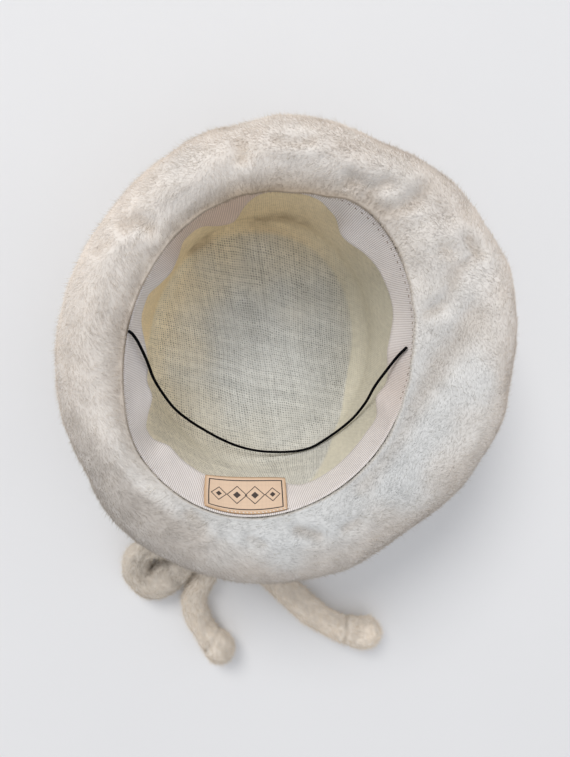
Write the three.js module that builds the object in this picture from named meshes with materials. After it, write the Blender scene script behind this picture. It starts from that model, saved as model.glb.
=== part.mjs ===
// Cloche hat of plush fur felt, lying on its crown with the head opening upwards.
// Millimetres, +Z up, +Y towards the wearer's front, origin on the flattened crown it rests on.

import * as THREE from 'three';
import { mergeVertices } from 'three/addons/utils/BufferGeometryUtils.js';

// ---------------------------------------------------------------- driving dimensions

const openingLong = 95.5; // half axes of the head opening
const openingShort = 81;
const openingTurn = THREE.MathUtils.degToRad(71); // where the long half axis points
const lipHeight = 100; // height of the opening's edge above the surface the hat rests on

const restRadius = 45; // flattened patch of the crown
const feltWall = 3;
const feltTurnIn = 7; // how far the felt's edge turns down inside the opening
const feltClearance = 1.6; // the felt's turned edge outside the line of the opening

const liningWall = 1;
const liningClearance = 0.3;
const liningTop = 99;
const liningSideFoot = 30; // height where the side wall starts to round into the tip
const liningTipHeight = 17; // height of the tip's edge
const liningTipDrop = 4; // how much lower the tip's centre lies
const liningFootLong = 86.5; // half axes at the foot of the side wall
const liningFootShort = 75.5;
const liningFootTurn = THREE.MathUtils.degToRad(85);
const liningTipShare = 0.87; // edge of the tip, as a share of the foot
const liningShift = new THREE.Vector2(-3, 3); // the crown leans this far at its tip

const bandTop = 99;
const bandWidth = 24;
const bandWall = 0.8;
const bandDroop = 1.3; // how the ribbon's stand-off grows towards its free edge

const labelWall = 0.6;
const labelTop = 98.6;
const labelFoot = { from: 79.5, to: 76 }; // height of its lower edge at each end
const labelGap = 0.6; // it is sewn on at its ends and stands a little off the ribbon

const fitGap = 0.4; // between pieces that are sewn together

const elasticDiameter = 1.8;
const elasticSides = 8;
const elasticSteps = 58;

const rouleauSides = 10;
const rouleauEnd = 0.5; // how far an end bulges past its last ring, as a share of its half thickness
const rouleauRings = { loop: 22, tailLeft: 18, tailRight: 20 };
const knotRings = 8;
const ringColumns = 64; // columns round the felt and the lining
const bandColumns = 128;
const normalStep = 0.01; // step in angle and station that a surface's normal is taken over

// Stations where the felt and the lining have a ring of points.
const feltRestStations = [-0.5, 0];
const feltSteps = { below: 6, above: 5, inside: 5 };
const feltEdgeStations = [3.5, 4];
const liningTipStations = [0.35, 0.7, 1];
const liningCornerSteps = 4;
const liningWallStations = [2.35, 2.7, 3];

// The folds fade in above the widest line and out before the lip, between these stations.
const foldFade = { from: 1, full: 1.6, still: 2.5, gone: 3 };

// A row for each section round the brim roll: how far it reaches from the axis, how high its
// widest line lies, how far inside that its crest lies, and how much the crest rises above the lip.
const rollSections = [
  { angle: 0, reach: 150.5, belly: 71, crestIn: 26, crestRise: 13 },
  { angle: 12, reach: 152.3, belly: 71, crestIn: 26, crestRise: 14 },
  { angle: 24, reach: 155, belly: 70, crestIn: 26, crestRise: 14 },
  { angle: 34, reach: 152, belly: 69, crestIn: 26, crestRise: 14 },
  { angle: 45, reach: 150.2, belly: 68, crestIn: 27, crestRise: 13 },
  { angle: 56, reach: 146.8, belly: 67, crestIn: 27, crestRise: 12 },
  { angle: 68, reach: 141.6, belly: 66, crestIn: 28, crestRise: 11 },
  { angle: 80, reach: 142, belly: 65, crestIn: 28, crestRise: 10 },
  { angle: 90, reach: 141, belly: 64, crestIn: 28, crestRise: 10 },
  { angle: 101, reach: 135.5, belly: 63, crestIn: 27, crestRise: 10 },
  { angle: 110, reach: 134.8, belly: 62, crestIn: 27, crestRise: 10 },
  { angle: 120, reach: 131, belly: 62, crestIn: 27, crestRise: 10 },
  { angle: 140, reach: 126.5, belly: 62, crestIn: 26, crestRise: 9 },
  { angle: 160, reach: 125.6, belly: 62, crestIn: 26, crestRise: 9 },
  { angle: 180, reach: 127, belly: 64, crestIn: 27, crestRise: 9 },
  { angle: 200, reach: 130.5, belly: 65, crestIn: 28, crestRise: 9 },
  { angle: 214, reach: 133, belly: 66, crestIn: 29, crestRise: 9 },
  { angle: 227, reach: 139.5, belly: 68, crestIn: 32, crestRise: 9 },
  { angle: 245, reach: 143.6, belly: 70, crestIn: 35, crestRise: 9 },
  { angle: 262, reach: 144.4, belly: 71, crestIn: 35, crestRise: 9 },
  { angle: 280, reach: 145, belly: 73, crestIn: 34, crestRise: 10 },
  { angle: 296, reach: 144, belly: 74, crestIn: 32, crestRise: 11 },
  { angle: 310, reach: 141, belly: 74, crestIn: 30, crestRise: 12 },
  { angle: 325, reach: 146, belly: 74, crestIn: 31, crestRise: 12 },
  { angle: 345, reach: 151, belly: 73, crestIn: 29, crestRise: 12 },
];

// A row for each dent or fold pressed into the top of the roll, along a line seen from above.
const rollFolds = [
  { x1: 31, y1: 102, x2: 62, y2: 95, width: 7, depth: 3 }, // crease at the front
  { x1: 62, y1: 95, x2: 82, y2: 90, width: 9, depth: 6 },
  { x1: 82, y1: 90, x2: 90, y2: 84, width: 11, depth: 6 }, // pit where the creases meet
  { x1: 66, y1: 77, x2: 82, y2: 85, width: 7, depth: 4 },
  { x1: 97, y1: 66, x2: 111, y2: 70, width: 7, depth: 5 }, // hooked crease on the left side
  { x1: 111, y1: 70, x2: 98, y2: 44, width: 8, depth: 5 },
  { x1: 107, y1: 50, x2: 93, y2: 22, width: 8, depth: 4 },
  { x1: 99, y1: 84, x2: 107, y2: 52, width: 14, depth: 4 }, // shallow valley beside the opening
  { x1: 107, y1: 52, x2: 106, y2: 8, width: 16, depth: 6 },
  { x1: 106, y1: 8, x2: 95, y2: -40, width: 16, depth: 6 },
  { x1: 95, y1: -40, x2: 76, y2: -68, width: 13, depth: 4 },
  { x1: -88, y1: 66, x2: -66, y2: 74, width: 9, depth: 3 },
  { x1: -28, y1: 100, x2: -26, y2: 110, width: 9, depth: 3 },
];

// How far the opening's line lies outside the ellipse of its half axes, round the opening.
const openingBulges = [
  { angle: 20, bulge: 0 },
  { angle: 34, bulge: 0.1 },
  { angle: 43, bulge: 0.7 },
  { angle: 51, bulge: 1.8 },
  { angle: 60, bulge: 2.8 },
  { angle: 68, bulge: 2.6 },
  { angle: 76, bulge: 2 },
  { angle: 84, bulge: 2 },
  { angle: 94, bulge: 2.8 },
  { angle: 104, bulge: 3.2 },
  { angle: 114, bulge: 2.8 },
  { angle: 124, bulge: 2.4 },
  { angle: 134, bulge: 2.4 },
  { angle: 146, bulge: 2 },
  { angle: 160, bulge: 1.5 },
  { angle: 172, bulge: 1 },
  { angle: 184, bulge: 0.8 },
  { angle: 194, bulge: 1 },
  { angle: 203, bulge: 1.9 },
  { angle: 212, bulge: 2.9 },
  { angle: 220, bulge: 3 },
  { angle: 229, bulge: 2.1 },
  { angle: 240, bulge: 1.2 },
  { angle: 254, bulge: 0.7 },
  { angle: 270, bulge: 0.1 },
  { angle: 290, bulge: 0.1 },
  { angle: 304, bulge: 0.5 },
  { angle: 322, bulge: 0.7 },
  { angle: 338, bulge: 0.1 },
  { angle: 355, bulge: 0 },
];

// How far the ribbon's free edge stands off the lining, round the opening.
const bandWaves = [
  { angle: 4, stand: 6 },
  { angle: 12, stand: 4.6 },
  { angle: 22, stand: 1.8 },
  { angle: 33, stand: 2.1 },
  { angle: 43, stand: 3.6 },
  { angle: 50, stand: 6.2 },
  { angle: 58, stand: 9.6 },
  { angle: 63, stand: 8.8 },
  { angle: 68, stand: 2 },
  { angle: 73, stand: 0 },
  { angle: 95, stand: 0 },
  { angle: 103, stand: 5.2 },
  { angle: 109, stand: 8.4 },
  { angle: 115, stand: 6.4 },
  { angle: 122, stand: 0.8 },
  { angle: 130, stand: 0 },
  { angle: 137, stand: 4.2 },
  { angle: 144, stand: 5.8 },
  { angle: 151, stand: 3.6 },
  { angle: 158, stand: 0 },
  { angle: 168, stand: 0.5 },
  { angle: 180, stand: 6 },
  { angle: 189, stand: 8 },
  { angle: 196, stand: 7.1 },
  { angle: 204, stand: 9 },
  { angle: 211, stand: 3.2 },
  { angle: 215, stand: 0 },
  { angle: 220, stand: 1 },
  { angle: 226, stand: 6.2 },
  { angle: 234, stand: 6.3 },
  { angle: 245, stand: 6.8 },
  { angle: 254, stand: 8 },
  { angle: 263, stand: 9.6 },
  { angle: 272, stand: 10 },
  { angle: 279, stand: 8 },
  { angle: 284, stand: 3.4 },
  { angle: 290, stand: 0.8 },
  { angle: 302, stand: 0.2 },
  { angle: 324, stand: 0.8 },
  { angle: 333, stand: 0.2 },
  { angle: 341, stand: 5.6 },
  { angle: 350, stand: 2.6 },
];

// How far the ribbon's free edge is turned up under the lip, round the opening.
const bandTucks = [
  { angle: 0, tuck: 0 },
  { angle: 66, tuck: 0 },
  { angle: 71, tuck: 1 },
  { angle: 76, tuck: 9 },
  { angle: 82, tuck: 13 },
  { angle: 97, tuck: 13 },
  { angle: 102, tuck: 9 },
  { angle: 107, tuck: 1 },
  { angle: 112, tuck: 0 },
  { angle: 200, tuck: 0 },
  { angle: 300, tuck: 0 },
];

// The label's ends, at its upper and lower edge.
const labelEnds = {
  foot: { from: 245.5, to: 281 },
  top: { from: 248.5, to: 279 },
};
const labelColumns = 12;
const labelRows = 3;

// The elastic hangs from both ends and dips over the free edge of the ribbon to the lining.
const elasticRoute = [
  [-80.9, 10.8, 100.8], [-79.7, 9.9, 100.2], [-78.6, 8.2, 97.5], [-76.9, 3.6, 90], [-73, -6.8, 82.2],
  [-70, -18.2, 72.3], [-65, -30, 59.5], [-58, -41, 50], [-48.4, -50.2, 42], [-37.6, -58.1, 35],
  [-25.6, -65.2, 30], [-13, -70.5, 26.5], [0.5, -73.4, 24.5], [14.5, -73.7, 24.2], [28.2, -71.8, 26],
  [37.5, -67.8, 29.5], [45.2, -61.2, 34], [54.3, -51.2, 41.5], [61.4, -40.8, 49.5], [66.2, -28.6, 59],
  [67.8, -16, 71.8], [71.5, -4.8, 81.3], [75.8, 5, 88], [78.6, 10.8, 94],
];

// Rouleaux of the bow, a row for each section: place, half width in plan and half thickness.
const bowKnot = { angle: 261.5, up: 0.7, radius: 13 };
const bowLoopRows = [
  { x: -36.3, y: -143.7, z: 38, wide: 6.5, thick: 6.5 },
  { x: -50, y: -145, z: 33, wide: 8.5, thick: 8.5 },
  { x: -66, y: -144.5, z: 27, wide: 9, thick: 9 },
  { x: -78.5, y: -150.5, z: 21, wide: 8.5, thick: 9 },
  { x: -84.5, y: -163, z: 15, wide: 9.5, thick: 9.5 },
  { x: -78, y: -177, z: 10.6, wide: 12, thick: 10 },
  { x: -65, y: -181, z: 10.4, wide: 13.5, thick: 10 },
  { x: -54.5, y: -172, z: 13.5, wide: 11, thick: 9.5 },
  { x: -46.5, y: -161, z: 19, wide: 9, thick: 9 },
  { x: -34.2, y: -150.2, z: 25.5, wide: 5.5, thick: 5.5 },
];
const tailLeftRows = [
  { x: -23.7, y: -152.3, z: 18.1, wide: 6.5, thick: 6.5 },
  { x: -28, y: -164, z: 12, wide: 8.6, thick: 8.6 },
  { x: -35, y: -178, z: 9.8, wide: 9.3, thick: 9.4 },
  { x: -40.5, y: -192, z: 10, wide: 9.8, thick: 9.8 },
  { x: -37.5, y: -207, z: 10, wide: 9.6, thick: 9.6 },
  { x: -31, y: -218.5, z: 10.4, wide: 9.4, thick: 9.6 },
  { x: -25, y: -225, z: 11.8, wide: 11, thick: 11.4 },
  { x: -19.5, y: -231.5, z: 12.2, wide: 11.6, thick: 11.8 },
  { x: -16.5, y: -238, z: 12, wide: 9.4, thick: 9.4 },
  { x: -15.2, y: -241.5, z: 11.6, wide: 4.5, thick: 4.5 },
];
const tailRightRows = [
  { x: -9.5, y: -150.8, z: 23.2, wide: 6.5, thick: 6.5 },
  { x: 5, y: -162.5, z: 13, wide: 9, thick: 9 },
  { x: 21, y: -177, z: 10.4, wide: 10.2, thick: 10.2 },
  { x: 36.5, y: -191.5, z: 10.6, wide: 10.5, thick: 10.4 },
  { x: 52.5, y: -204.5, z: 10.6, wide: 10.5, thick: 10.4 },
  { x: 68, y: -213.5, z: 10.4, wide: 10, thick: 10.2 },
  { x: 78, y: -216.8, z: 11, wide: 10.4, thick: 10.6 },
  { x: 86, y: -218, z: 12.2, wide: 11.8, thick: 12 },
  { x: 94, y: -218.3, z: 12.4, wide: 12, thick: 12.2 },
  { x: 101, y: -218.5, z: 12.2, wide: 10, thick: 10.2 },
  { x: 104.5, y: -218.5, z: 12, wide: 4.8, thick: 5 },
];

// ---------------------------------------------------------------- finishes

const finish = (color, roughness) => new THREE.MeshStandardMaterial({ color, roughness, metalness: 0 });
const plushFelt = finish(0xcfc8bf, 0.95);
const buckram = finish(0xc9c8b4, 0.9);
const ribbonFinish = finish(0xe4dcd6, 0.7);
const satinFinish = finish(0xe8c6a0, 0.5);
const elasticFinish = finish(0x17161a, 0.8);

// ---------------------------------------------------------------- helpers

const fullTurn = Math.PI * 2;
const quarterTurn = Math.PI / 2;
const { lerp, smoothstep, euclideanModulo, degToRad, radToDeg } = THREE.MathUtils;

// Value of one column of a table of angles, smooth all the way round.
function roundTable(table, column, angle) {
  const degrees = euclideanModulo(radToDeg(angle), 360);
  const count = table.length;
  let next = table.findIndex((row) => row.angle > degrees);
  if (next < 0) next = count;
  const row = (k) => table[euclideanModulo(k, count)][column];
  const at = (k) => table[euclideanModulo(k, count)].angle + 360 * Math.floor(k / count);
  const [p0, p1, p2, p3] = [next - 2, next - 1, next, next + 1];
  const span = at(p2) - at(p1);
  const t = (degrees - at(p1)) / span;
  const slope1 = (row(p2) - row(p0)) / (at(p2) - at(p0)) * span;
  const slope2 = (row(p3) - row(p1)) / (at(p3) - at(p1)) * span;
  const [t2, t3] = [t * t, t * t * t];
  return (2 * t3 - 3 * t2 + 1) * row(p1) + (t3 - 2 * t2 + t) * slope1
    + (3 * t2 - 2 * t3) * row(p2) + (t3 - t2) * slope2;
}

function ellipseRadius(angle, long, short, turn) {
  return long * short / Math.hypot(short * Math.cos(angle - turn), long * Math.sin(angle - turn));
}

const openingRadius = (angle) => ellipseRadius(angle, openingLong, openingShort, openingTurn)
  + roundTable(openingBulges, 'bulge', angle);
const footRadius = (angle) => ellipseRadius(angle, liningFootLong, liningFootShort, liningFootTurn);

const polar = (radius, angle, z) => new THREE.Vector3(
  radius * Math.cos(angle), radius * Math.sin(angle), z);

// Joins rings of points into one closed body. A ring of one point is a pole. With endless set,
// the last ring joins the first.
function ringBody(rings, endless = false) {
  const starts = rings.map((ring, k) => rings.slice(0, k).reduce((sum, other) => sum + other.length, 0));
  const index = [];
  const pairs = rings.length - (endless ? 0 : 1);
  for (let k = 0; k < pairs; k++) {
    const next = (k + 1) % rings.length;
    const [ringA, ringB] = [rings[k], rings[next]];
    const columns = Math.max(ringA.length, ringB.length);
    for (let i = 0; i < columns; i++) {
      const a = (n) => starts[k] + (ringA.length === 1 ? 0 : n % columns);
      const b = (n) => starts[next] + (ringB.length === 1 ? 0 : n % columns);
      if (ringA.length > 1) index.push(a(i), a(i + 1), b(i));
      if (ringB.length > 1) index.push(a(i + 1), b(i + 1), b(i));
    }
  }
  return facingOut(indexed(rings.flat(), index));
}

// A thin sheet between two grids of points.
function sheetBody(face, back) {
  const [rows, columns] = [face.length, face[0].length];
  const at = (side, row, column) => (side * rows + row) * columns + column;
  const index = [];
  const quad = (a, b, c, d) => index.push(a, b, c, c, d, a);
  for (let r = 0; r < rows - 1; r++) {
    for (let c = 0; c < columns - 1; c++) {
      quad(at(0, r, c), at(0, r, c + 1), at(0, r + 1, c + 1), at(0, r + 1, c));
      quad(at(1, r, c), at(1, r + 1, c), at(1, r + 1, c + 1), at(1, r, c + 1));
    }
    quad(at(0, r, 0), at(0, r + 1, 0), at(1, r + 1, 0), at(1, r, 0));
    quad(at(0, r, columns - 1), at(1, r, columns - 1), at(1, r + 1, columns - 1), at(0, r + 1, columns - 1));
  }
  for (let c = 0; c < columns - 1; c++) {
    quad(at(0, 0, c), at(1, 0, c), at(1, 0, c + 1), at(0, 0, c + 1));
    quad(at(0, rows - 1, c), at(0, rows - 1, c + 1), at(1, rows - 1, c + 1), at(1, rows - 1, c));
  }
  return facingOut(indexed([...face, ...back].flat(), index));
}

function indexed(points, index) {
  const geometry = new THREE.BufferGeometry();
  geometry.setFromPoints(points);
  geometry.setIndex(index);
  return geometry;
}

function facingOut(geometry) {
  const { position } = geometry.attributes;
  const index = geometry.index.array;
  const corner = [0, 1, 2].map(() => new THREE.Vector3());
  let volume = 0;
  for (let k = 0; k < index.length; k += 3) {
    corner.forEach((point, n) => point.fromBufferAttribute(position, index[k + n]));
    volume += corner[0].dot(corner[1].clone().cross(corner[2]));
  }
  if (volume < 0) geometry.setIndex(Array.from(index).reverse());
  geometry.computeVertexNormals();
  return geometry;
}

// Unit normal of a surface given as a function of an angle and a station.
function surfaceNormal(surface, angle, station) {
  const around = surface(angle + normalStep, station).sub(surface(angle - normalStep, station));
  const along = surface(angle, station + normalStep).sub(surface(angle, station - normalStep));
  return around.cross(along).normalize();
}

// Rings of a wall that follows a surface on one side and lies a thickness away on the other.
function wallRings(surface, stations, thickness, columns) {
  const angles = Array.from({ length: columns }, (_, i) => i / columns * fullTurn);
  const face = stations.map((station) => angles.map((angle) => surface(angle, station)));
  const back = stations.map((station) => angles.map((angle) =>
    surface(angle, station).addScaledVector(surfaceNormal(surface, angle, station), -thickness)));
  return [...face, ...back.reverse()];
}

const evenSteps = (from, to, count) => Array.from({ length: count }, (_, i) =>
  lerp(from, to, (i + 1) / count));

// ---------------------------------------------------------------- felt body

// The felt's outer face, with the station running 0-1 from the edge of the rest patch to the
// widest line, 1-2 up to the crest, 2-3 down to the lip and 3-4 down the turned-in edge.
// Below 0 it is the flat rest patch.
function feltProfile(angle, station) {
  const reach = roundTable(rollSections, 'reach', angle);
  const belly = roundTable(rollSections, 'belly', angle);
  const crest = reach - roundTable(rollSections, 'crestIn', angle);
  const crestRise = roundTable(rollSections, 'crestRise', angle);
  const lip = openingRadius(angle) + feltClearance;
  if (station <= 0) return polar(restRadius * (1 + station), angle, 0);
  const swing = (station % 1) * quarterTurn;
  if (station < 1) {
    return polar(restRadius + (reach - restRadius) * Math.sin(swing), angle, belly * (1 - Math.cos(swing)));
  }
  if (station < 2) {
    const rise = lipHeight + crestRise - belly;
    return polar(crest + (reach - crest) * Math.cos(swing), angle, belly + rise * Math.sin(swing));
  }
  if (station < 3) {
    return polar(crest - (crest - lip) * Math.sin(swing), angle, lipHeight + crestRise * Math.cos(swing));
  }
  return polar(lip, angle, lipHeight - feltTurnIn * (station - 3));
}

function foldDepth(x, y) {
  let depth = 0;
  for (const fold of rollFolds) {
    const [lengthX, lengthY] = [fold.x2 - fold.x1, fold.y2 - fold.y1];
    const along = ((x - fold.x1) * lengthX + (y - fold.y1) * lengthY) / (lengthX ** 2 + lengthY ** 2);
    const nearest = THREE.MathUtils.clamp(along, 0, 1);
    const away = Math.hypot(x - fold.x1 - nearest * lengthX, y - fold.y1 - nearest * lengthY);
    depth = Math.max(depth, fold.depth * Math.exp(-((away / fold.width) ** 2)));
  }
  return depth;
}

function feltFace(angle, station) {
  const point = feltProfile(angle, station);
  const onTop = smoothstep(station, foldFade.from, foldFade.full)
    * (1 - smoothstep(station, foldFade.still, foldFade.gone));
  if (onTop === 0) return point;
  const press = onTop * foldDepth(point.x, point.y);
  return point.addScaledVector(surfaceNormal(feltProfile, angle, station), -press);
}

function feltBody() {
  const stations = [
    ...feltRestStations, ...evenSteps(0, 1, feltSteps.below), ...evenSteps(1, 2, feltSteps.above),
    ...evenSteps(2, 3, feltSteps.inside), ...feltEdgeStations,
  ];
  const rings = wallRings(feltFace, stations, feltWall, ringColumns);
  const outerPole = [new THREE.Vector3(0, 0, 0)];
  const innerPole = [new THREE.Vector3(0, 0, feltWall)];
  return ringBody([outerPole, ...rings, innerPole]);
}

// ---------------------------------------------------------------- crown lining

// The lining's head-side face, with the station running 0-1 over the tip, 1-2 round the corner
// and 2-3 up the side wall.
function liningFace(angle, station) {
  if (station > 2) {
    const z = lerp(liningSideFoot, liningTop, station - 2);
    return liningPoint(liningRadius(angle, z), angle, z);
  }
  let share = liningTipShare * station;
  let z = liningTipHeight - liningTipDrop * (1 - station ** 2);
  if (station >= 1) {
    const swing = (station - 1) * quarterTurn;
    share = lerp(liningTipShare, 1, Math.sin(swing));
    z = lerp(liningTipHeight, liningSideFoot, 1 - Math.cos(swing));
  }
  return liningPoint(footRadius(angle) * share, angle, z);
}

function liningPoint(radius, angle, z) {
  const lean = (lipHeight - z) / (lipHeight - liningTipHeight);
  return polar(radius, angle, z).add(new THREE.Vector3(liningShift.x * lean, liningShift.y * lean, 0));
}

// Head-side radius of the side wall at a height.
function liningRadius(angle, z) {
  const up = (z - liningSideFoot) / (liningTop - liningSideFoot);
  return lerp(footRadius(angle), openingRadius(angle) + liningClearance, up);
}

function crownLining() {
  const stations = [...liningTipStations, ...evenSteps(1, 2, liningCornerSteps), ...liningWallStations];
  const rings = wallRings(liningFace, stations, -liningWall, ringColumns);
  const tip = liningPoint(0, 0, liningTipHeight - liningTipDrop);
  return ringBody([[tip], ...rings, [tip.clone().setZ(tip.z - liningWall)]]);
}

// ---------------------------------------------------------------- sweatband and label

// The ribbon's head-side face, from its sewn top edge to its waved free edge.
function bandFace(angle, z, inset = fitGap + bandWall) {
  const down = (bandTop - z) / bandWidth;
  const stand = Math.max(roundTable(bandWaves, 'stand', angle), 0) * down ** bandDroop;
  return liningPoint(liningRadius(angle, z) - inset - stand, angle, z);
}

function sweatband() {
  const angles = Array.from({ length: bandColumns }, (_, i) => i / bandColumns * fullTurn);
  const widths = angles.map((angle) => bandWidth - Math.max(roundTable(bandTucks, 'tuck', angle), 0));
  const sheet = (inset) => [0, 0.5, 1].map((share) =>
    angles.map((angle, i) => bandFace(angle, bandTop - share * widths[i], inset)));
  return ringBody([...sheet(), ...sheet(fitGap).reverse()], true);
}

function label() {
  const sheet = (inset) => Array.from({ length: labelRows + 1 }, (_, row) => {
    const up = row / labelRows;
    const from = degToRad(lerp(labelEnds.foot.from, labelEnds.top.from, up));
    const to = degToRad(lerp(labelEnds.foot.to, labelEnds.top.to, up));
    return Array.from({ length: labelColumns + 1 }, (_, i) =>
      bandFace(lerp(from, to, i / labelColumns),
        lerp(lerp(labelFoot.from, labelFoot.to, i / labelColumns), labelTop, up), inset));
  });
  const back = sheet(fitGap + bandWall + labelGap);
  const face = sheet(fitGap + bandWall + labelGap + labelWall);
  return sheetBody(face, back);
}

// ---------------------------------------------------------------- elastic

function elastic() {
  const route = new THREE.CatmullRomCurve3(elasticRoute.map((point) => new THREE.Vector3(...point)));
  const section = new THREE.Shape();
  for (let k = 0; k < elasticSides; k++) {
    const turn = k / elasticSides * fullTurn;
    const corner = [Math.cos(turn) * elasticDiameter / 2, Math.sin(turn) * elasticDiameter / 2];
    if (k === 0) section.moveTo(...corner);
    else section.lineTo(...corner);
  }
  section.closePath();
  return new THREE.ExtrudeGeometry(section, { steps: elasticSteps, extrudePath: route });
}

// ---------------------------------------------------------------- bow

// A soft rouleau through a table of sections, with rounded ends.
function rouleau(rows, ringCount) {
  const spine = new THREE.CatmullRomCurve3(rows.map((row) => new THREE.Vector3(row.x, row.y, row.z)));
  const sizes = new THREE.CatmullRomCurve3(rows.map((row) => new THREE.Vector3(row.wide, row.thick, 0)));
  const up = new THREE.Vector3(0, 0, 1);
  const rings = Array.from({ length: ringCount }, (_, k) => {
    const t = k / (ringCount - 1);
    const centre = spine.getPoint(t);
    const forward = spine.getTangent(t);
    const side = forward.clone().cross(up).normalize();
    const rise = side.clone().cross(forward);
    const size = sizes.getPoint(t);
    return Array.from({ length: rouleauSides }, (_, i) => {
      const turn = i / rouleauSides * fullTurn;
      return centre.clone()
        .addScaledVector(side, Math.cos(turn) * size.x)
        .addScaledVector(rise, Math.sin(turn) * size.y);
    });
  });
  const endPole = (t, outwards) => {
    const size = sizes.getPoint(t);
    return [spine.getPoint(t).addScaledVector(spine.getTangent(t), outwards * size.y * rouleauEnd)];
  };
  return ringBody([endPole(0, -1), ...rings, endPole(1, 1)]);
}

function bowKnotBody() {
  const angle = degToRad(bowKnot.angle);
  const seat = feltProfile(angle, bowKnot.up);
  const outwards = surfaceNormal(feltProfile, angle, bowKnot.up);
  const centre = seat.addScaledVector(outwards, bowKnot.radius + fitGap);
  const knot = mergeVertices(bare(new THREE.SphereGeometry(bowKnot.radius, rouleauSides, knotRings)));
  return knot.translate(centre.x, centre.y, centre.z);
}

function bare(geometry) {
  geometry.deleteAttribute('normal');
  geometry.deleteAttribute('uv');
  return geometry;
}

// ---------------------------------------------------------------- assembly

function piece(name, geometry, material) {
  const mesh = new THREE.Mesh(geometry, material);
  mesh.name = name;
  return mesh;
}

const hat = new THREE.Group();
hat.add(
  piece('felt_body', feltBody(), plushFelt),
  piece('crown_lining', crownLining(), buckram),
  piece('sweatband', sweatband(), ribbonFinish),
  piece('label', label(), satinFinish),
  piece('elastic', elastic(), elasticFinish),
  piece('bow_knot', bowKnotBody(), plushFelt),
  piece('bow_loop', rouleau(bowLoopRows, rouleauRings.loop), plushFelt),
  piece('tail_left', rouleau(tailLeftRows, rouleauRings.tailLeft), plushFelt),
  piece('tail_right', rouleau(tailRightRows, rouleauRings.tailRight), plushFelt),
);

export default hat;
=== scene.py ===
# Plush felt cloche, lying on its crown: lining, ribbon, label, elastic and bow.
# Sizes are in millimetres in the dictionaries, and made metres when a mesh is built.

import math

import bpy
import numpy as np
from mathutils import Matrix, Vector, noise


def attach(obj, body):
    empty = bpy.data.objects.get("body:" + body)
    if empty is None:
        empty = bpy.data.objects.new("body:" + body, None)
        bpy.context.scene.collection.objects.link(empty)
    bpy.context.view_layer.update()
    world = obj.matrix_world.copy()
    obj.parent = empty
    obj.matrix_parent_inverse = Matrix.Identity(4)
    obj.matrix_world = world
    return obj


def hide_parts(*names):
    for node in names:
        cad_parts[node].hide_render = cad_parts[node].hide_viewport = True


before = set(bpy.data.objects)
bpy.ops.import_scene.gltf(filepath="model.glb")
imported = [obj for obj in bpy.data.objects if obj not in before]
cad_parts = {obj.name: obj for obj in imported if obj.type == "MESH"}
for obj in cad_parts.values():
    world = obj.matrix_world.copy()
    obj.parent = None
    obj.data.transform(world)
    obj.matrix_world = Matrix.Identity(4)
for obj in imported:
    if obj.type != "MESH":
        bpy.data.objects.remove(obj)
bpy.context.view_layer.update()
mm = 0.001
fullTurn = 2 * math.pi


# camera, floor and light

studio = {
    "cameraAt": (-28.8, 29.2, 420.1),
    "cameraTurn": (-7.5, -5.9, 3.9),      # degrees about X, Y and Z
    "lens": 27.0,
    "sensor": 36.0,
    "floorSize": 6.0,                     # metres, as are its clouds and the lights
    "floorColour": (0.80, 0.80, 0.807, 1),
    "floorDarker": 0.985,                 # what its faint clouds are multiplied by
    "floorCloud": 0.15,
    "skyColour": (0.95, 0.965, 1.0, 1),
    "skyStrength": 0.62,
    "exposure": 0.0,
    "lamps": [
        {"name": "window", "at": (-1.73, 2.93, 3.33), "size": 2.1, "power": 124,
         "colour": (1.0, 0.985, 0.965)},
        {"name": "fill", "at": (0.9, -0.5, 1.3), "size": 1.6, "power": 2, "colour": (0.95, 0.97, 1.0)},
    ],
}


def linked(name, data):
    made = bpy.data.objects.new(name, data)
    bpy.context.scene.collection.objects.link(made)
    return made


def setCamera():
    data = bpy.data.cameras.new("camera")
    data.lens = studio["lens"]
    data.sensor_width = studio["sensor"]
    data.clip_start = 0.01
    camera = linked("camera", data)
    camera.location = [x * mm for x in studio["cameraAt"]]
    camera.rotation_euler = [math.radians(x) for x in studio["cameraTurn"]]
    bpy.context.scene.camera = camera


def setLights():
    for lamp in studio["lamps"]:
        data = bpy.data.lights.new(lamp["name"], "AREA")
        data.shape = "DISK"
        data.size = lamp["size"]
        data.energy = lamp["power"]
        data.color = lamp["colour"]
        light = linked(lamp["name"], data)
        light.location = lamp["at"]
        light.rotation_euler = (-Vector(lamp["at"])).to_track_quat("-Z", "Y").to_euler()
    world = bpy.data.worlds.new("studio")
    world.use_nodes = True
    sky = world.node_tree.nodes["Background"]
    sky.inputs["Color"].default_value = studio["skyColour"]
    sky.inputs["Strength"].default_value = studio["skyStrength"]
    bpy.context.scene.world = world


def setView():
    view = bpy.context.scene.view_settings
    view.view_transform = "Standard"
    view.look = "None"
    view.exposure = studio["exposure"]


setCamera()
setLights()
setView()
print("camera and lights set")


# node helpers

def newNode(tree, kind, settings=None, **inputs):
    node = tree.nodes.new(kind)
    for name, value in (settings or {}).items():
        setattr(node, name, value)
    for name, value in inputs.items():
        feed(tree, node.inputs[name.replace("_", " ")], value)
    return node


def feed(tree, socket, value):
    if isinstance(value, bpy.types.NodeSocket):
        tree.links.new(value, socket)
    else:
        socket.default_value = value


def maths(tree, operation, a, b=0.0):
    node = tree.nodes.new("ShaderNodeMath")
    node.operation = operation
    feed(tree, node.inputs[0], a)
    feed(tree, node.inputs[1], b)
    return node.outputs[0]


def vectorMaths(tree, operation, a, b=(0, 0, 0), scale=1.0):
    node = tree.nodes.new("ShaderNodeVectorMath")
    node.operation = operation
    feed(tree, node.inputs[0], a)
    if operation == "SCALE":
        feed(tree, node.inputs["Scale"], scale)
    elif operation != "NORMALIZE":
        feed(tree, node.inputs[1], b)
    return node.outputs[0]


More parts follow.
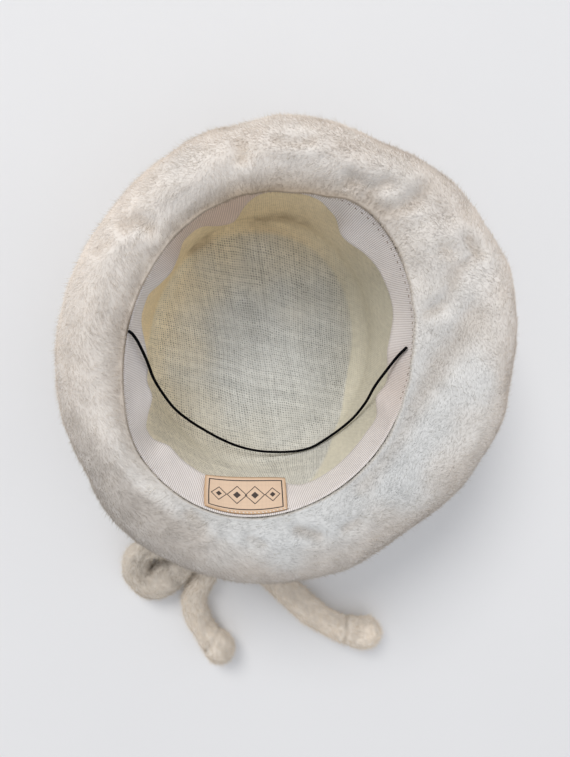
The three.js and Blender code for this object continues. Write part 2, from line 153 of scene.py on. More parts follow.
def mixColour(tree, factor, a, b, blend="MIX"):
    node = tree.nodes.new("ShaderNodeMix")
    node.data_type = "RGBA"
    node.blend_type = blend
    feed(tree, node.inputs[0], factor)
    feed(tree, node.inputs[6], a)
    feed(tree, node.inputs[7], b)
    return node.outputs[2]


def spread(tree, value, low, high):
    return newNode(tree, "ShaderNodeMapRange", Value=value, To_Min=low, To_Max=high).outputs[0]


# A colour darkened and lightened by a value: low where the value is 0 and high where it is 1.
def shadeBy(tree, colour, value, low, high):
    tone = spread(tree, value, low, high)
    grey = newNode(tree, "ShaderNodeCombineColor", Red=tone, Green=tone, Blue=tone).outputs[0]
    return mixColour(tree, 1.0, colour, grey, "MULTIPLY")


def surfaceValue(tree, name, output="Fac"):
    return newNode(tree, "ShaderNodeAttribute", {"attribute_name": name}).outputs[output]


def uvPlace(tree, name):
    return newNode(tree, "ShaderNodeUVMap", {"uv_map": name}).outputs["UV"]


def objectPlace(tree):
    return newNode(tree, "ShaderNodeTexCoord").outputs["Object"]


# The socket that a node offers for the type of value it has been set to.
def offered(sockets):
    return next(socket for socket in sockets if socket.enabled)


def newGroup(name, kind, inputs, outputs):
    tree = bpy.data.node_groups.new(name, kind)
    for socket, (socketType, value) in inputs.items():
        made = tree.interface.new_socket(name=socket, in_out="INPUT", socket_type=socketType)
        if value is not None:
            made.default_value = value
    for socket, socketType in outputs.items():
        tree.interface.new_socket(name=socket, in_out="OUTPUT", socket_type=socketType)
    return tree, tree.nodes.new("NodeGroupInput"), tree.nodes.new("NodeGroupOutput")


def placeGroup(tree, group, **inputs):
    node = tree.nodes.new("ShaderNodeGroup")
    node.node_tree = group
    for name, value in inputs.items():
        feed(tree, node.inputs[name], value)
    return node


def newMaterial(name, **constants):
    material = bpy.data.materials.new(name)
    material.use_nodes = True
    shader = material.node_tree.nodes["Principled BSDF"]
    for socket, value in constants.items():
        shader.inputs[socket.replace("_", " ")].default_value = value
    return material, material.node_tree, shader


def bumpFrom(tree, height, relief):
    strength, distance = relief
    return newNode(tree, "ShaderNodeBump", Height=height, Strength=strength,
                   Distance=distance * mm).outputs["Normal"]


# A place pushed to and fro by a noise colour, by up to half the reach each way.
def pushedBy(tree, place, colour, reach):
    centred = vectorMaths(tree, "SUBTRACT", colour, (0.5, 0.5, 0.5))
    return vectorMaths(tree, "ADD", place, vectorMaths(tree, "SCALE", centred, scale=reach))


# shared surface effects

def makeMottle():
    tree, given, out = newGroup("mottle", "ShaderNodeTree", {
        "Vector": ("NodeSocketVector", None),
        "Size": ("NodeSocketFloat", 0.02),
        "Detail": ("NodeSocketFloat", 4.0),
    }, {"Tone": "NodeSocketFloat"})
    scale = maths(tree, "DIVIDE", 1.0, given.outputs["Size"])
    cloud = newNode(tree, "ShaderNodeTexNoise", Vector=given.outputs["Vector"], Scale=scale,
                    Detail=given.outputs["Detail"])
    tone = newNode(tree, "ShaderNodeMapRange", Value=cloud.outputs["Fac"], From_Min=0.3, From_Max=0.7)
    tree.links.new(tone.outputs[0], out.inputs["Tone"])
    return tree


# Threads both ways, with a gap where four of them meet: a height for the bump, a mask that is dark in
# the gaps, and a tone that differs from thread to thread.
def makeWeave():
    tree, given, out = newGroup("weave", "ShaderNodeTree", {
        "Vector": ("NodeSocketVector", None),
        "Across Pitch": ("NodeSocketFloat", 0.001),
        "Along Pitch": ("NodeSocketFloat", 0.001),
        "Wander": ("NodeSocketFloat", 0.2),
        "Wander Size": ("NodeSocketFloat", 0.006),
    }, {"Height": "NodeSocketFloat", "Gap": "NodeSocketFloat", "Thread Tone": "NodeSocketFloat"})
    drift = newNode(tree, "ShaderNodeTexNoise", Vector=given.outputs["Vector"], Detail=2.0,
                    Scale=maths(tree, "DIVIDE", 1.0, given.outputs["Wander Size"]))
    wander = maths(tree, "MULTIPLY", given.outputs["Wander"], given.outputs["Across Pitch"])
    moved = pushedBy(tree, given.outputs["Vector"], drift.outputs["Color"], wander)
    parts = newNode(tree, "ShaderNodeSeparateXYZ", Vector=moved)
    heights, tones, cells = [], [], []
    for axis, pitch in ((0, "Across Pitch"), (1, "Along Pitch")):
        count = maths(tree, "DIVIDE", parts.outputs[axis], given.outputs[pitch])
        wave = maths(tree, "COSINE", maths(tree, "MULTIPLY", count, fullTurn))
        heights.append(maths(tree, "ADD", maths(tree, "MULTIPLY", wave, 0.5), 0.5))
        cell = maths(tree, "FLOOR", maths(tree, "ADD", count, 0.5))
        cells.append(cell)
        thread = newNode(tree, "ShaderNodeTexWhiteNoise", {"noise_dimensions": "1D"},
                         W=maths(tree, "ADD", cell, 61.3 * axis))
        tones.append(thread.outputs["Value"])
    corner = newNode(tree, "ShaderNodeCombineXYZ", X=cells[0], Y=cells[1])
    openness = newNode(tree, "ShaderNodeTexWhiteNoise", {"noise_dimensions": "3D"},
                       Vector=corner.outputs[0])
    hole = maths(tree, "MULTIPLY", heights[0], heights[1])
    gap = maths(tree, "MULTIPLY", hole, spread(tree, openness.outputs["Value"], 0.35, 1.0))
    tree.links.new(maths(tree, "SUBTRACT", 1.0, hole), out.inputs["Height"])
    tree.links.new(gap, out.inputs["Gap"])
    tree.links.new(maths(tree, "MULTIPLY", maths(tree, "ADD", *tones), 0.5), out.inputs["Thread Tone"])
    return tree


# Combed pile: streaks along the second coordinate, broken into tufts.
def makeCombing():
    tree, given, out = newGroup("combing", "ShaderNodeTree", {
        "Vector": ("NodeSocketVector", None),
        "Streak Width": ("NodeSocketFloat", 0.0008),
        "Streak Length": ("NodeSocketFloat", 0.006),
    }, {"Streak": "NodeSocketFloat"})
    bend = newNode(tree, "ShaderNodeTexNoise", Vector=given.outputs["Vector"], Scale=60.0, Detail=2.0)
    moved = pushedBy(tree, given.outputs["Vector"], bend.outputs["Color"], 0.012)
    size = newNode(tree, "ShaderNodeCombineXYZ", X=given.outputs["Streak Length"],
                   Y=given.outputs["Streak Width"], Z=given.outputs["Streak Width"])
    combed = vectorMaths(tree, "DIVIDE", moved, size.outputs[0])
    streak = newNode(tree, "ShaderNodeTexNoise", Vector=combed, Scale=1.0, Detail=3.0)
    tree.links.new(streak.outputs["Fac"], out.inputs["Streak"])
    return tree


mottle = makeMottle()
weave = makeWeave()
combing = makeCombing()


# mesh helpers, all taking millimetres

def addObject(name, mesh, material=None):
    if material:
        mesh.materials.append(material)
    mesh.shade_smooth()
    return linked(name, mesh)


def newMesh(name, points, faces=()):
    mesh = bpy.data.meshes.new(name)
    mesh.from_pydata((points * mm).tolist(), [], [tuple(int(v) for v in face) for face in faces])
    return mesh


def facingOut(points, faces):
    corners = points[np.array([face[:3] for face in faces])]
    volume = np.einsum("ij,ij->", corners[:, 0], np.cross(corners[:, 1], corners[:, 2]))
    return faces if volume > 0 else [face[::-1] for face in faces]


# Joins rings of points into one closed body. A ring of one point is a pole.
def ringMesh(name, rings, material=None, endless=False, uvSize=None):
    rings = [np.atleast_2d(ring) for ring in rings]
    starts = np.cumsum([0] + [len(ring) for ring in rings])
    points = np.vstack(rings)
    columns = max(len(ring) for ring in rings)
    faces = []
    for k in range(len(rings) - (0 if endless else 1)):
        n = (k + 1) % len(rings)
        a, b = starts[k], starts[n]
        for i in range(columns):
            j = (i + 1) % columns
            if len(rings[k]) == 1:
                faces.append((a, b + j, b + i))
            elif len(rings[n]) == 1:
                faces.append((a + i, a + j, b))
            else:
                faces.append((a + i, a + j, b + j, b + i))
    faces = facingOut(points, faces)
    mesh = newMesh(name, points, faces)
    if uvSize is not None:
        addRingUv(mesh, rings, starts, uvSize)
    return addObject(name, mesh, material)


# The point that each corner of each face uses.
def loopPoints(mesh):
    loops = np.zeros(len(mesh.loops), int)
    mesh.loops.foreach_get("vertex_index", loops)
    return loops


# One pair of coordinates for each point, given to every corner that uses it.
def addUv(mesh, name, places):
    mesh.uv_layers.new(name=name).data.foreach_set("uv", places[loopPoints(mesh)].ravel())


# The first coordinate runs round a ring and the second along the rings, both in metres.
def addRingUv(mesh, rings, starts, uvSize):
    columns = max(len(ring) for ring in rings)
    total = starts[-1]
    across = np.zeros(total)
    along = np.zeros(total)
    length = 0.0
    for k, ring in enumerate(rings):
        if k and uvSize["byCentre"]:
            length += np.linalg.norm(ring.mean(0) - rings[k - 1].mean(0))
        elif k:
            length += np.linalg.norm(ring[0] - rings[k - 1][0])
        across[starts[k]:starts[k + 1]] = np.arange(len(ring)) / columns
        along[starts[k]:starts[k + 1]] = length
    loops = loopPoints(mesh)
    u, v = across[loops], along[loops]
    sizes = np.zeros(len(mesh.polygons), int)
    mesh.polygons.foreach_get("loop_total", sizes)
    owner = np.repeat(np.arange(len(sizes)), sizes)
    highest = np.zeros(len(sizes))
    np.maximum.at(highest, owner, u)
    u = np.where((highest[owner] > 0.75) & (u < 0.25), u + 1, u)
    layer = mesh.uv_layers.new(name="cloth")
    layer.data.foreach_set("uv", np.column_stack([u * uvSize["round"] * mm, v * mm]).ravel())


def addAttribute(mesh, name, kind, values):
    attribute = mesh.attributes.new(name, kind, "POINT")
    key = {"FLOAT": "value", "FLOAT_VECTOR": "vector", "FLOAT_COLOR": "color"}[kind]
    attribute.data.foreach_set(key, np.asarray(values, np.float32).ravel())


def withAlpha(colours):
    return np.concatenate([colours, np.ones(colours.shape[:-1] + (1,))], -1)


def noiseAt(points, size, seed):
    shift = Vector((seed * 13.7, seed * 7.3, seed * 3.1))
    return np.array([noise.noise(Vector(point) / size + shift) for point in points.reshape(-1, 3)]
                    ).reshape(points.shape[:-1])


# Several sizes of noise together, each with its height.
def lumpsAt(points, lumps, seed):
    return sum(height * noiseAt(points, size, seed + k) for k, (size, height) in enumerate(lumps))


def smoothStep(value, low, high):
    t = np.clip((value - low) / (high - low), 0, 1)
    return t * t * (3 - 2 * t)


# Rises over the first span and falls over the second.
def within(value, rise, fall):
    return smoothStep(value, *rise) * (1 - smoothStep(value, *fall))


def blendOf(a, b, share):
    return a + (b - a) * share


# Goes smoothly from one value to another, with the slope asked for at each.
def hermite(a, slopeA, b, slopeB, t):
    return ((2 * t**3 - 3 * t**2 + 1) * a + (t**3 - 2 * t**2 + t) * slopeA
            + (3 * t**2 - 2 * t**3) * b + (t**3 - t**2) * slopeB)


# Smooth curve through points, as dense as is asked.
def smoothPath(points, count):
    points = np.asarray(points, float)
    padded = np.vstack([2 * points[0] - points[1], points, 2 * points[-1] - points[-2]])
    place = np.linspace(0, len(points) - 1, count)
    k = np.minimum(place.astype(int), len(points) - 2)
    t = (place - k)[:, None]
    p0, p1, p2, p3 = (padded[k + n] for n in range(4))
    d0, d1, d2 = (np.sqrt(np.linalg.norm((b - a)[:, :3], axis=1))[:, None]
                  for a, b in ((p0, p1), (p1, p2), (p2, p3)))
    m1 = ((p1 - p0) / d0 - (p2 - p0) / (d0 + d1) + (p2 - p1) / d1) * d1
    m2 = ((p2 - p1) / d1 - (p3 - p1) / (d1 + d2) + (p3 - p2) / d2) * d1
    return hermite(p1, m1, p2, m2, t)


def tangentsOf(path):
    step = np.gradient(path, axis=0)
    return step / np.linalg.norm(step, axis=1)[:, None]


# The directions forward, sideways and up at each point of a path.
def framesAlong(path):
    forward = tangentsOf(path)
    side = np.cross(forward, [0.0, 0.0, 1.0])
    side /= np.linalg.norm(side, axis=1)[:, None]
    return forward, side, np.cross(side, forward)


# Value of a table of angles in degrees, smooth all the way round.
def roundTable(degrees, values, angle):
    before, after = np.array(degrees[-2:]) - 360, np.array(degrees[:3]) + 360
    at = np.concatenate([before, degrees, after]).astype(float)
    value = np.concatenate([values[-2:], values, values[:3]]).astype(float)
    slope = np.gradient(value)
    slope[1:-1] = (value[2:] - value[:-2]) / (at[2:] - at[:-2])
    place = np.degrees(angle) % 360
    k = np.searchsorted(at, place, side="right") - 1
    span = at[k + 1] - at[k]
    t = (place - at[k]) / span
    return hermite(value[k], slope[k] * span, value[k + 1], slope[k + 1] * span, t)


def ellipseRadius(angle, ellipse):
    turned = angle - math.radians(ellipse["turn"])
    return ellipse["long"] * ellipse["short"] / np.hypot(
        ellipse["short"] * np.cos(turned), ellipse["long"] * np.sin(turned))


def polar(radius, angle, z):
    return np.stack(np.broadcast_arrays(radius * np.cos(angle), radius * np.sin(angle), z), -1)


def surfaceNormal(surface, angle, station):
    step = 0.01
    around = surface(angle + step, station) - surface(angle - step, station)
    along = surface(angle, station + step) - surface(angle, station - step)
    normal = np.cross(around, along)
    return normal / np.linalg.norm(normal, axis=-1, keepdims=True)


def roundAngles(columns):
    return np.arange(columns) / columns * fullTurn


endBulge = 0.4      # how far the closed end of a cord or roll stands out, as a share of its radius


# elastic

elasticCord = {
    "diameter": 1.8,
    "sides": 12,
    "steps": 220,
    "colour": (0.0015, 0.0015, 0.002, 1),
    "braidPitch": 1.1,
    "lighter": 3,           # how many times lighter the lightest threads are
    "relief": (0.6, 0.1),   # strength and depth of the bumps
    "route": [
        (-80.9, 10.8, 100.8), (-79.7, 9.9, 100.2), (-78.6, 8.2, 97.5), (-76.9, 3.6, 90), (-73, -6.8, 82.2),
        (-70, -18.2, 72.3), (-65, -30, 59.5), (-58, -41, 50), (-48.4, -50.2, 42), (-37.6, -58.1, 35),
        (-25.6, -65.2, 30), (-13, -70.5, 26.5), (0.5, -73.4, 24.5), (14.5, -73.7, 24.2), (28.2, -71.8, 26),
        (37.5, -67.8, 29.5), (45.2, -61.2, 34), (54.3, -51.2, 41.5), (61.4, -40.8, 49.5), (66.2, -28.6, 59),
        (67.8, -16, 71.8), (71.5, -4.8, 81.3), (75.8, 5, 88), (78.6, 10.8, 94),
    ],
}


def elasticMaterial():
    material, tree, shader = newMaterial("braided_elastic", Roughness=0.9, Specular_IOR_Level=0.04)
    pitch = elasticCord["braidPitch"] * mm
    braid = placeGroup(tree, weave, **{
        "Vector": uvPlace(tree, "cloth"), "Across Pitch": pitch, "Along Pitch": pitch})
    dark = elasticCord["colour"]
    light = tuple(elasticCord["lighter"] * x for x in dark[:3]) + (1,)
    feed(tree, shader.inputs["Base Color"], mixColour(tree, braid.outputs["Thread Tone"], dark, light))
    feed(tree, shader.inputs["Normal"], bumpFrom(tree, braid.outputs["Height"], elasticCord["relief"]))
    return material


# A round tube along a path, with its ends closed.
def tubeRings(path, radius, sides):
    forward, side, rise = framesAlong(path)
    turn = roundAngles(sides)
    rings = [path[k] + radius * (np.cos(turn)[:, None] * side[k] + np.sin(turn)[:, None] * rise[k])
             for k in range(len(path))]
    return [path[0] - forward[0] * radius * endBulge, *rings, path[-1] + forward[-1] * radius * endBulge]


def makeElastic():
    path = smoothPath(elasticCord["route"], elasticCord["steps"])
    radius = elasticCord["diameter"] / 2
    size = {"round": fullTurn * radius, "byCentre": True}
    piece = ringMesh("elastic_cord", tubeRings(path, radius, elasticCord["sides"]),
                     elasticMaterial(), uvSize=size)
    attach(piece, "root")
    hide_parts("elastic")


makeElastic()


# floor

def makeFloor():
    half = studio["floorSize"] / 2
    mesh = bpy.data.meshes.new("floor")
    corners = [(-half, -half, 0), (half, -half, 0), (half, half, 0), (-half, half, 0)]
    mesh.from_pydata(corners, [], [(0, 1, 2, 3)])
    material, tree, shader = newMaterial("pale_paper", Roughness=0.8)
    tone = placeGroup(tree, mottle, Vector=objectPlace(tree), Size=studio["floorCloud"])
    colour = studio["floorColour"]
    darker = tuple(studio["floorDarker"] * x for x in colour[:3]) + (1,)
    feed(tree, shader.inputs["Base Color"], mixColour(tree, tone.outputs["Tone"], darker, colour))
    addObject("floor", mesh, material)


makeFloor()


# felt form, shared by the shell and its nap

opening = {"long": 95.5, "short": 81, "turn": 71, "height": 100}

felt = {
    "columns": 384,
    "rowsBelow": 40,        # rows from the rest patch to the widest line
    "rowsAbove": 34,        # from there to the crest
    "rowsInside": 28,       # from the crest to the lip
    "restRadius": 45,
    "wall": 3,
    "turnIn": 7,
    "rimRows": [3.02, 3.04, 3.07, 3.1, 3.3, 3.55, 3.8, 4],      # stations of the rows past the lip
    "backStep": 5,          # the hidden back has one row for so many of the face
    "girth": 760,           # length round the roll that its combing is laid out on
    "clearance": 1.6,
    "pileDepth": 1.2,       # the cloth lies this far inside the pile's surface
    "lumps": [(34, 1.0), (14, 0.6), (6, 0.25)],     # size and height of the uneven pile
    "swirls": [(46, 1.3), (18, 0.8), (7, 0.35)],    # size and turn of its combing
    "slopeTurn": 0.8,       # how much further it is combed down on the inner slope
    "lipTurn": 0.7,         # and at the lip
    "thickness": [(9, 0.4)],    # size and share of the places where it grows thicker
    "lengths": [(12, 0.35)],    # and where it grows longer
    "lipLength": 0.8,       # share of its length at the lip
    "bareBelow": (2, 14),   # no pile under the first height, full pile over the second
    "thinUnder": 0.18,      # share of the pile that grows under the roll
    "thickLip": 1.7,        # how much more of it grows at the lip
    "strayOnTop": 0.1,      # share of the stray fibres that grow on the inner slope
    "strayOnLip": 0.3,
    "foldShare": 0.85,      # how much of the broad folds' depth is left to them beside the creases
    "shoulder": 0.35,       # height of the ridge beside a crease, as a share of its depth
    "shoulderAt": 2.1,      # how far from its line the ridge is, in widths of the crease
    "lipLift": 3.0,         # how much the overhanging lip rises over the ribbon's edge
    "lipRagged": 0.07,      # uneven share of the lip's reach
    "lipWaves": (13, 29),   # how many times it swings round the opening
}

# How far the soft lip leans in over the ribbon, round the opening.
lipLean = {
    "angle": [0, 12, 24, 34, 44, 54, 64, 69, 73, 78, 90, 100, 106, 112, 119, 128, 145, 162, 172, 182,
              205, 240, 265, 282, 296, 306, 322, 334, 342, 350],
    "reach": [4.8, 4.6, 4.2, 3.0, 2.2, 2.3, 2.3, 3.2, 4.6, 6.0, 6.0, 5.6, 4.8, 3.6, 2.5, 2.2, 2.2, 2.0,
              1.3, 2.0, 2.2, 2.2, 2.2, 2.3, 2.6, 2.2, 2.2, 2.4, 3.2, 4.2],
}

rollSections = {
    "angle": [0, 12, 24, 34, 45, 56, 68, 80, 90, 101, 110, 120, 140, 160, 180, 200, 214, 227, 245, 262,
              280, 296, 310, 325, 345],
    "reach": [150.5, 152.3, 155, 152, 150.2, 146.8, 141.6, 142, 141, 135.5, 134.8, 131, 126.5, 125.6, 127,
              130.5, 133, 139.5, 143.6, 144.4, 145, 144, 141, 146, 151],
    "belly": [71, 71, 70, 69, 68, 67, 66, 65, 64, 63, 62, 62, 62, 62, 64, 65, 66, 68, 70, 71,
              73, 74, 74, 74, 73],
    "crestIn": [26, 26, 26, 26, 27, 27, 28, 28, 28, 27, 27, 27, 26, 26, 27, 28, 29, 32, 35, 35,
                34, 32, 30, 31, 29],
    "crestRise": [13, 14, 14, 14, 13, 12, 11, 10, 10, 10, 10, 10, 9, 9, 9, 9, 9, 9, 9, 9,
                  10, 11, 12, 12, 12],
}

# Broad dents and folds pressed into the roll, each along a line: x1, y1, x2, y2, width, depth.
rollFolds = [
    (31, 102, 62, 95, 7, 3), (62, 95, 82, 90, 9, 6), (82, 90, 90, 84, 11, 6), (66, 77, 82, 85, 7, 4),
    (97, 66, 111, 70, 7, 5), (111, 70, 98, 44, 8, 5), (107, 50, 93, 22, 8, 4), (99, 84, 107, 52, 14, 4),
    (107, 52, 106, 8, 16, 6), (106, 8, 95, -40, 16, 6), (95, -40, 76, -68, 13, 4),
    (-88, 66, -66, 74, 9, 3), (-28, 100, -26, 110, 9, 3),
]

# Narrower creases in the pile, with the points that each passes through.
rollCreases = [
    {"width": 4.2, "depth": 2.4,
     "line": [(46.7, 90.2), (54.4, 85.5), (61.7, 85.6), (68.2, 88.3), (73.3, 93.5), (76.7, 99.6)]},
    {"width": 4.0, "depth": 2.6,
     "line": [(104.1, 73.5), (110.2, 66.3), (102.4, 58), (99.4, 47.8), (97.2, 41), (91.5, 34.4),
              (84.3, 30.1)]},
    {"width": 9.0, "depth": 2.2,
     "line": [(112.5, 30.8), (106.9, 16.8), (98, 6), (93.2, -4.6), (83.6, -20.2), (75.5, -34.6),
              (67.4, -49.1), (56, -67.4)]},
    {"width": 5.0, "depth": 2.0, "line": [(90.9, 67), (95.1, 60.8), (94, 52)]},
    {"width": 3.5, "depth": 2.4, "line": [(-26.1, 115.3), (-24.6, 106.4)]},
    {"width": 3.0, "depth": 1.8, "line": [(-7.9, 117.1), (5.5, 115.9), (12.3, 118)]},
    {"width": 3.6, "depth": 2.4, "line": [(34.9, 99.6), (46.2, 96.4), (54.8, 99.3)]},
    {"width": 3.8, "depth": 2.4, "line": [(-85.7, 66.6), (-78.7, 70.7), (-71.4, 66.2)]},
    {"width": 3.2, "depth": 1.6, "line": [(-99.5, 52.2), (-93.6, 57.8)]},
    {"width": 4.0, "depth": 2.2, "line": [(-43.4, -91.8), (-35.3, -98.7)]},
    {"width": 3.6, "depth": 2.2, "line": [(19.7, -99.1), (31.6, -101.2)]},
    {"width": 3.4, "depth": 1.8, "line": [(47.1, -95.3), (54.5, -90.9)]},
    {"width": 3.0, "depth": 1.2, "line": [(-7.7, -104.5), (-0.6, -107.4)]},
]

# How far the opening's line lies outside the ellipse of its half axes.
openingBulges = {
    "angle": [20, 34, 43, 51, 60, 68, 76, 84, 94, 104, 114, 124, 134, 146, 160, 172, 184, 194, 203, 212,
              220, 229, 240, 254, 270, 290, 304, 322, 338, 355],
    "bulge": [0, 0.1, 0.7, 1.8, 2.8, 2.6, 2, 2, 2.8, 3.2, 2.8, 2.4, 2.4, 2, 1.5, 1, 0.8, 1, 1.9, 2.9,
              3, 2.1, 1.2, 0.7, 0.1, 0.1, 0.5, 0.7, 0.1, 0],
}


def openingRadius(angle):
    return ellipseRadius(angle, opening) + roundTable(openingBulges["angle"], openingBulges["bulge"], angle)


# Station 0-1 from the rest patch to the widest line, 1-2 up to the crest, 2-3 down to the lip and
# 3-4 down the turned-in edge. Below 0 it is the flat rest patch.
def feltProfile(angle, station):
    angle, station = np.broadcast_arrays(np.asarray(angle, float), np.asarray(station, float))
    reach, belly, crestIn, rise = (roundTable(rollSections["angle"], rollSections[column], angle)
                                   for column in ("reach", "belly", "crestIn", "crestRise"))
    rest, top = felt["restRadius"], opening["height"]
    crest = reach - crestIn
    lip = openingRadius(angle) + felt["clearance"]
    swing = (station % 1) * math.pi / 2
    zones = [station <= 0, station < 1, station < 2, station < 3]
    radius = np.select(zones, [
        rest * (1 + station), rest + (reach - rest) * np.sin(swing),
        crest + (reach - crest) * np.cos(swing), crest - (crest - lip) * np.sin(swing)], lip)
    height = np.select(zones, [
        0 * station, belly * (1 - np.cos(swing)), belly + (top + rise - belly) * np.sin(swing),
        top + rise * np.cos(swing)], top - felt["turnIn"] * (station - 3))
    return polar(radius, angle, height)


def awayFromLine(x, y, x1, y1, x2, y2):
    runX, runY = x2 - x1, y2 - y1
    along = np.clip(((x - x1) * runX + (y - y1) * runY) / (runX**2 + runY**2), 0, 1)
    return np.hypot(x - x1 - along * runX, y - y1 - along * runY)


def foldDepth(x, y):
    deepest = np.zeros_like(x)
    for x1, y1, x2, y2, width, depth in rollFolds:
        away = awayFromLine(x, y, x1, y1, x2, y2)
        deepest = np.maximum(deepest, depth * np.exp(-((away / width) ** 2)))
    return deepest * felt["foldShare"]


# A crease sinks along its line and rises a little on both sides of it.
def creaseDepth(x, y):
    depth = np.zeros_like(x)
    for crease in rollCreases:
        line, width = crease["line"], crease["width"]
        away = np.min([awayFromLine(x, y, *a, *b) for a, b in zip(line, line[1:])], axis=0)
        sunk = np.exp(-((away / width) ** 2))
        ridge = np.exp(-(((away - felt["shoulderAt"] * width) / width) ** 2))
        depth += crease["depth"] * (sunk - felt["shoulder"] * ridge)
    return depth


def onTop(station):
    return within(station, (1, 1.6), (2.5, 3))


def feltFace(angle, station):
    point = feltProfile(angle, station)
    x, y = point[..., 0], point[..., 1]
    press = onTop(station) * (foldDepth(x, y) + creaseDepth(x, y))
    lean = within(station, (2.2, 2.9), (3.0, 3.1))
    slow, quick = felt["lipWaves"]
    ragged = 1 + felt["lipRagged"] * (np.sin(slow * angle) + 0.7 * np.sin(quick * angle + 1))
    reach = roundTable(lipLean["angle"], lipLean["reach"], angle) * lean * ragged
    lift = felt["lipLift"] * smoothStep(reach, 0, 3.2) * smoothStep(station, 2.5, 3)
    point = point - surfaceNormal(feltProfile, angle, station) * press[..., None]
    return point - polar(reach, angle, -lift)


# felt finish

feltFinish = {
    "warm": (0.790, 0.725, 0.660),       # outer side of the roll
    "cool": (0.745, 0.750, 0.745),       # inner slope
    # colour of the painted shade in the creases
    "deep": (0.600, 0.520, 0.440),       # in the creases
    "bow": (0.760, 0.690, 0.605),
    "toneAngle": [0, 45, 90, 135, 180, 225, 270, 315],
    # painted light and shade by side: what the outer side and the inner slope are multiplied by, lightest
    # near 135 degrees and darkest near 225
    "outerPaintedShading": [0.92, 0.99, 0.98, 1.11, 0.96, 0.66, 0.83, 0.78],
    "innerPaintedShading": [1.0, 1.03, 1.02, 1.03, 1.0, 1.04, 0.90, 0.89],
    "coolShare": [0.8, 0.35, 0.3, 0.25, 0.1, 0.5, 1.0, 1.0],
    "border": [(30, 0.4)],               # how much the line between the two sides strays
    "patches": [(30, 0.06), (11, 0.05)],
    # painted shade in the creases: how strongly and how far it darkens
    "creaseShade": 0.2,                   # how strongly a millimetre of crease darkens
    "creaseShadeMost": 0.7,
    "innerShift": [0.0, 0.0, 0.0, 0.0, 0.0, 0.35, 0.1, 0.15],
    # painted shade towards the lip, and a painted contact shadow at its very edge
    "lipShade": (0.55, 0.48, 0.40),       # what the shaded part of the lip is multiplied by
    "rimShadow": (0.90, 0.86, 0.81),       # and the very edge of it
    # how much of the painted lip shade falls at each angle
    "lipShadeAngle": [0, 45, 70, 100, 150, 190, 215, 240, 300],
    "lipShadeShare": [0.06, 0.2, 0.85, 1.1, 0.52, 0.55, 0.45, 0.12, 0.05],
    "streakWidth": 0.7,
    "streakLength": 6.0,
    "relief": (0.4, 0.6),                # strength and depth of the bumps
    "tuftSize": 12,
    "napTuftSize": 9,
    # what the colour is multiplied by where each pattern is least and most
    "streakTone": (0.88, 1.05),
    "tuftTone": (0.94, 1.03),
    "strandTone": (0.93, 1.06),
    "tipTone": (0.95, 1.03),
}


def feltMaterial(name):
    material, tree, shader = newMaterial(name, Roughness=0.95, Sheen_Weight=0.35, Sheen_Roughness=0.6)
    streak = placeGroup(tree, combing, **{
        "Vector": uvPlace(tree, "cloth"), "Streak Width": feltFinish["streakWidth"] * mm,
        "Streak Length": feltFinish["streakLength"] * mm}).outputs["Streak"]
    tuft = placeGroup(tree, mottle, Vector=objectPlace(tree), Size=feltFinish["tuftSize"] * mm)
    shade = shadeBy(tree, surfaceValue(tree, "tint", "Color"), streak, *feltFinish["streakTone"])
    shade = shadeBy(tree, shade, tuft.outputs["Tone"], *feltFinish["tuftTone"])
    feed(tree, shader.inputs["Base Color"], shade)
    feed(tree, shader.inputs["Normal"], bumpFrom(tree, streak, feltFinish["relief"]))
    return material


def napMaterial(name, tone):
    material, tree, shader = newMaterial(name, Roughness=0.95, Specular_IOR_Level=0.2, Sheen_Weight=0.12)
    tuft = placeGroup(tree, mottle, Vector=objectPlace(tree), Size=feltFinish["napTuftSize"] * mm)
    shade = mixColour(tree, 1.0, surfaceValue(tree, "tint", "Color"), tone, "MULTIPLY")
    shade = shadeBy(tree, shade, surfaceValue(tree, "strand"), *feltFinish["strandTone"])
    shade = shadeBy(tree, shade, surfaceValue(tree, "tipward"), *feltFinish["tipTone"])
    shade = shadeBy(tree, shade, tuft.outputs["Tone"], *feltFinish["tuftTone"])
    feed(tree, shader.inputs["Base Color"], shade)
    return material


# nap: tapered fibres grown on a cloth mesh

fibreLengths = (0.6, 1.25)      # shortest and longest, as shares of the length asked for


def storedValue(tree, name, kind):
    return offered(newNode(tree, "GeometryNodeInputNamedAttribute", {"data_type": kind}, Name=name).outputs)


def randomValue(tree, kind, low, high, seed):
    node = newNode(tree, "FunctionNodeRandomValue", {"data_type": kind}, Seed=seed)
    lowest, highest = [socket for socket in node.inputs if socket.enabled][:2]
    lowest.default_value = low
    highest.default_value = high
    return offered(node.outputs)


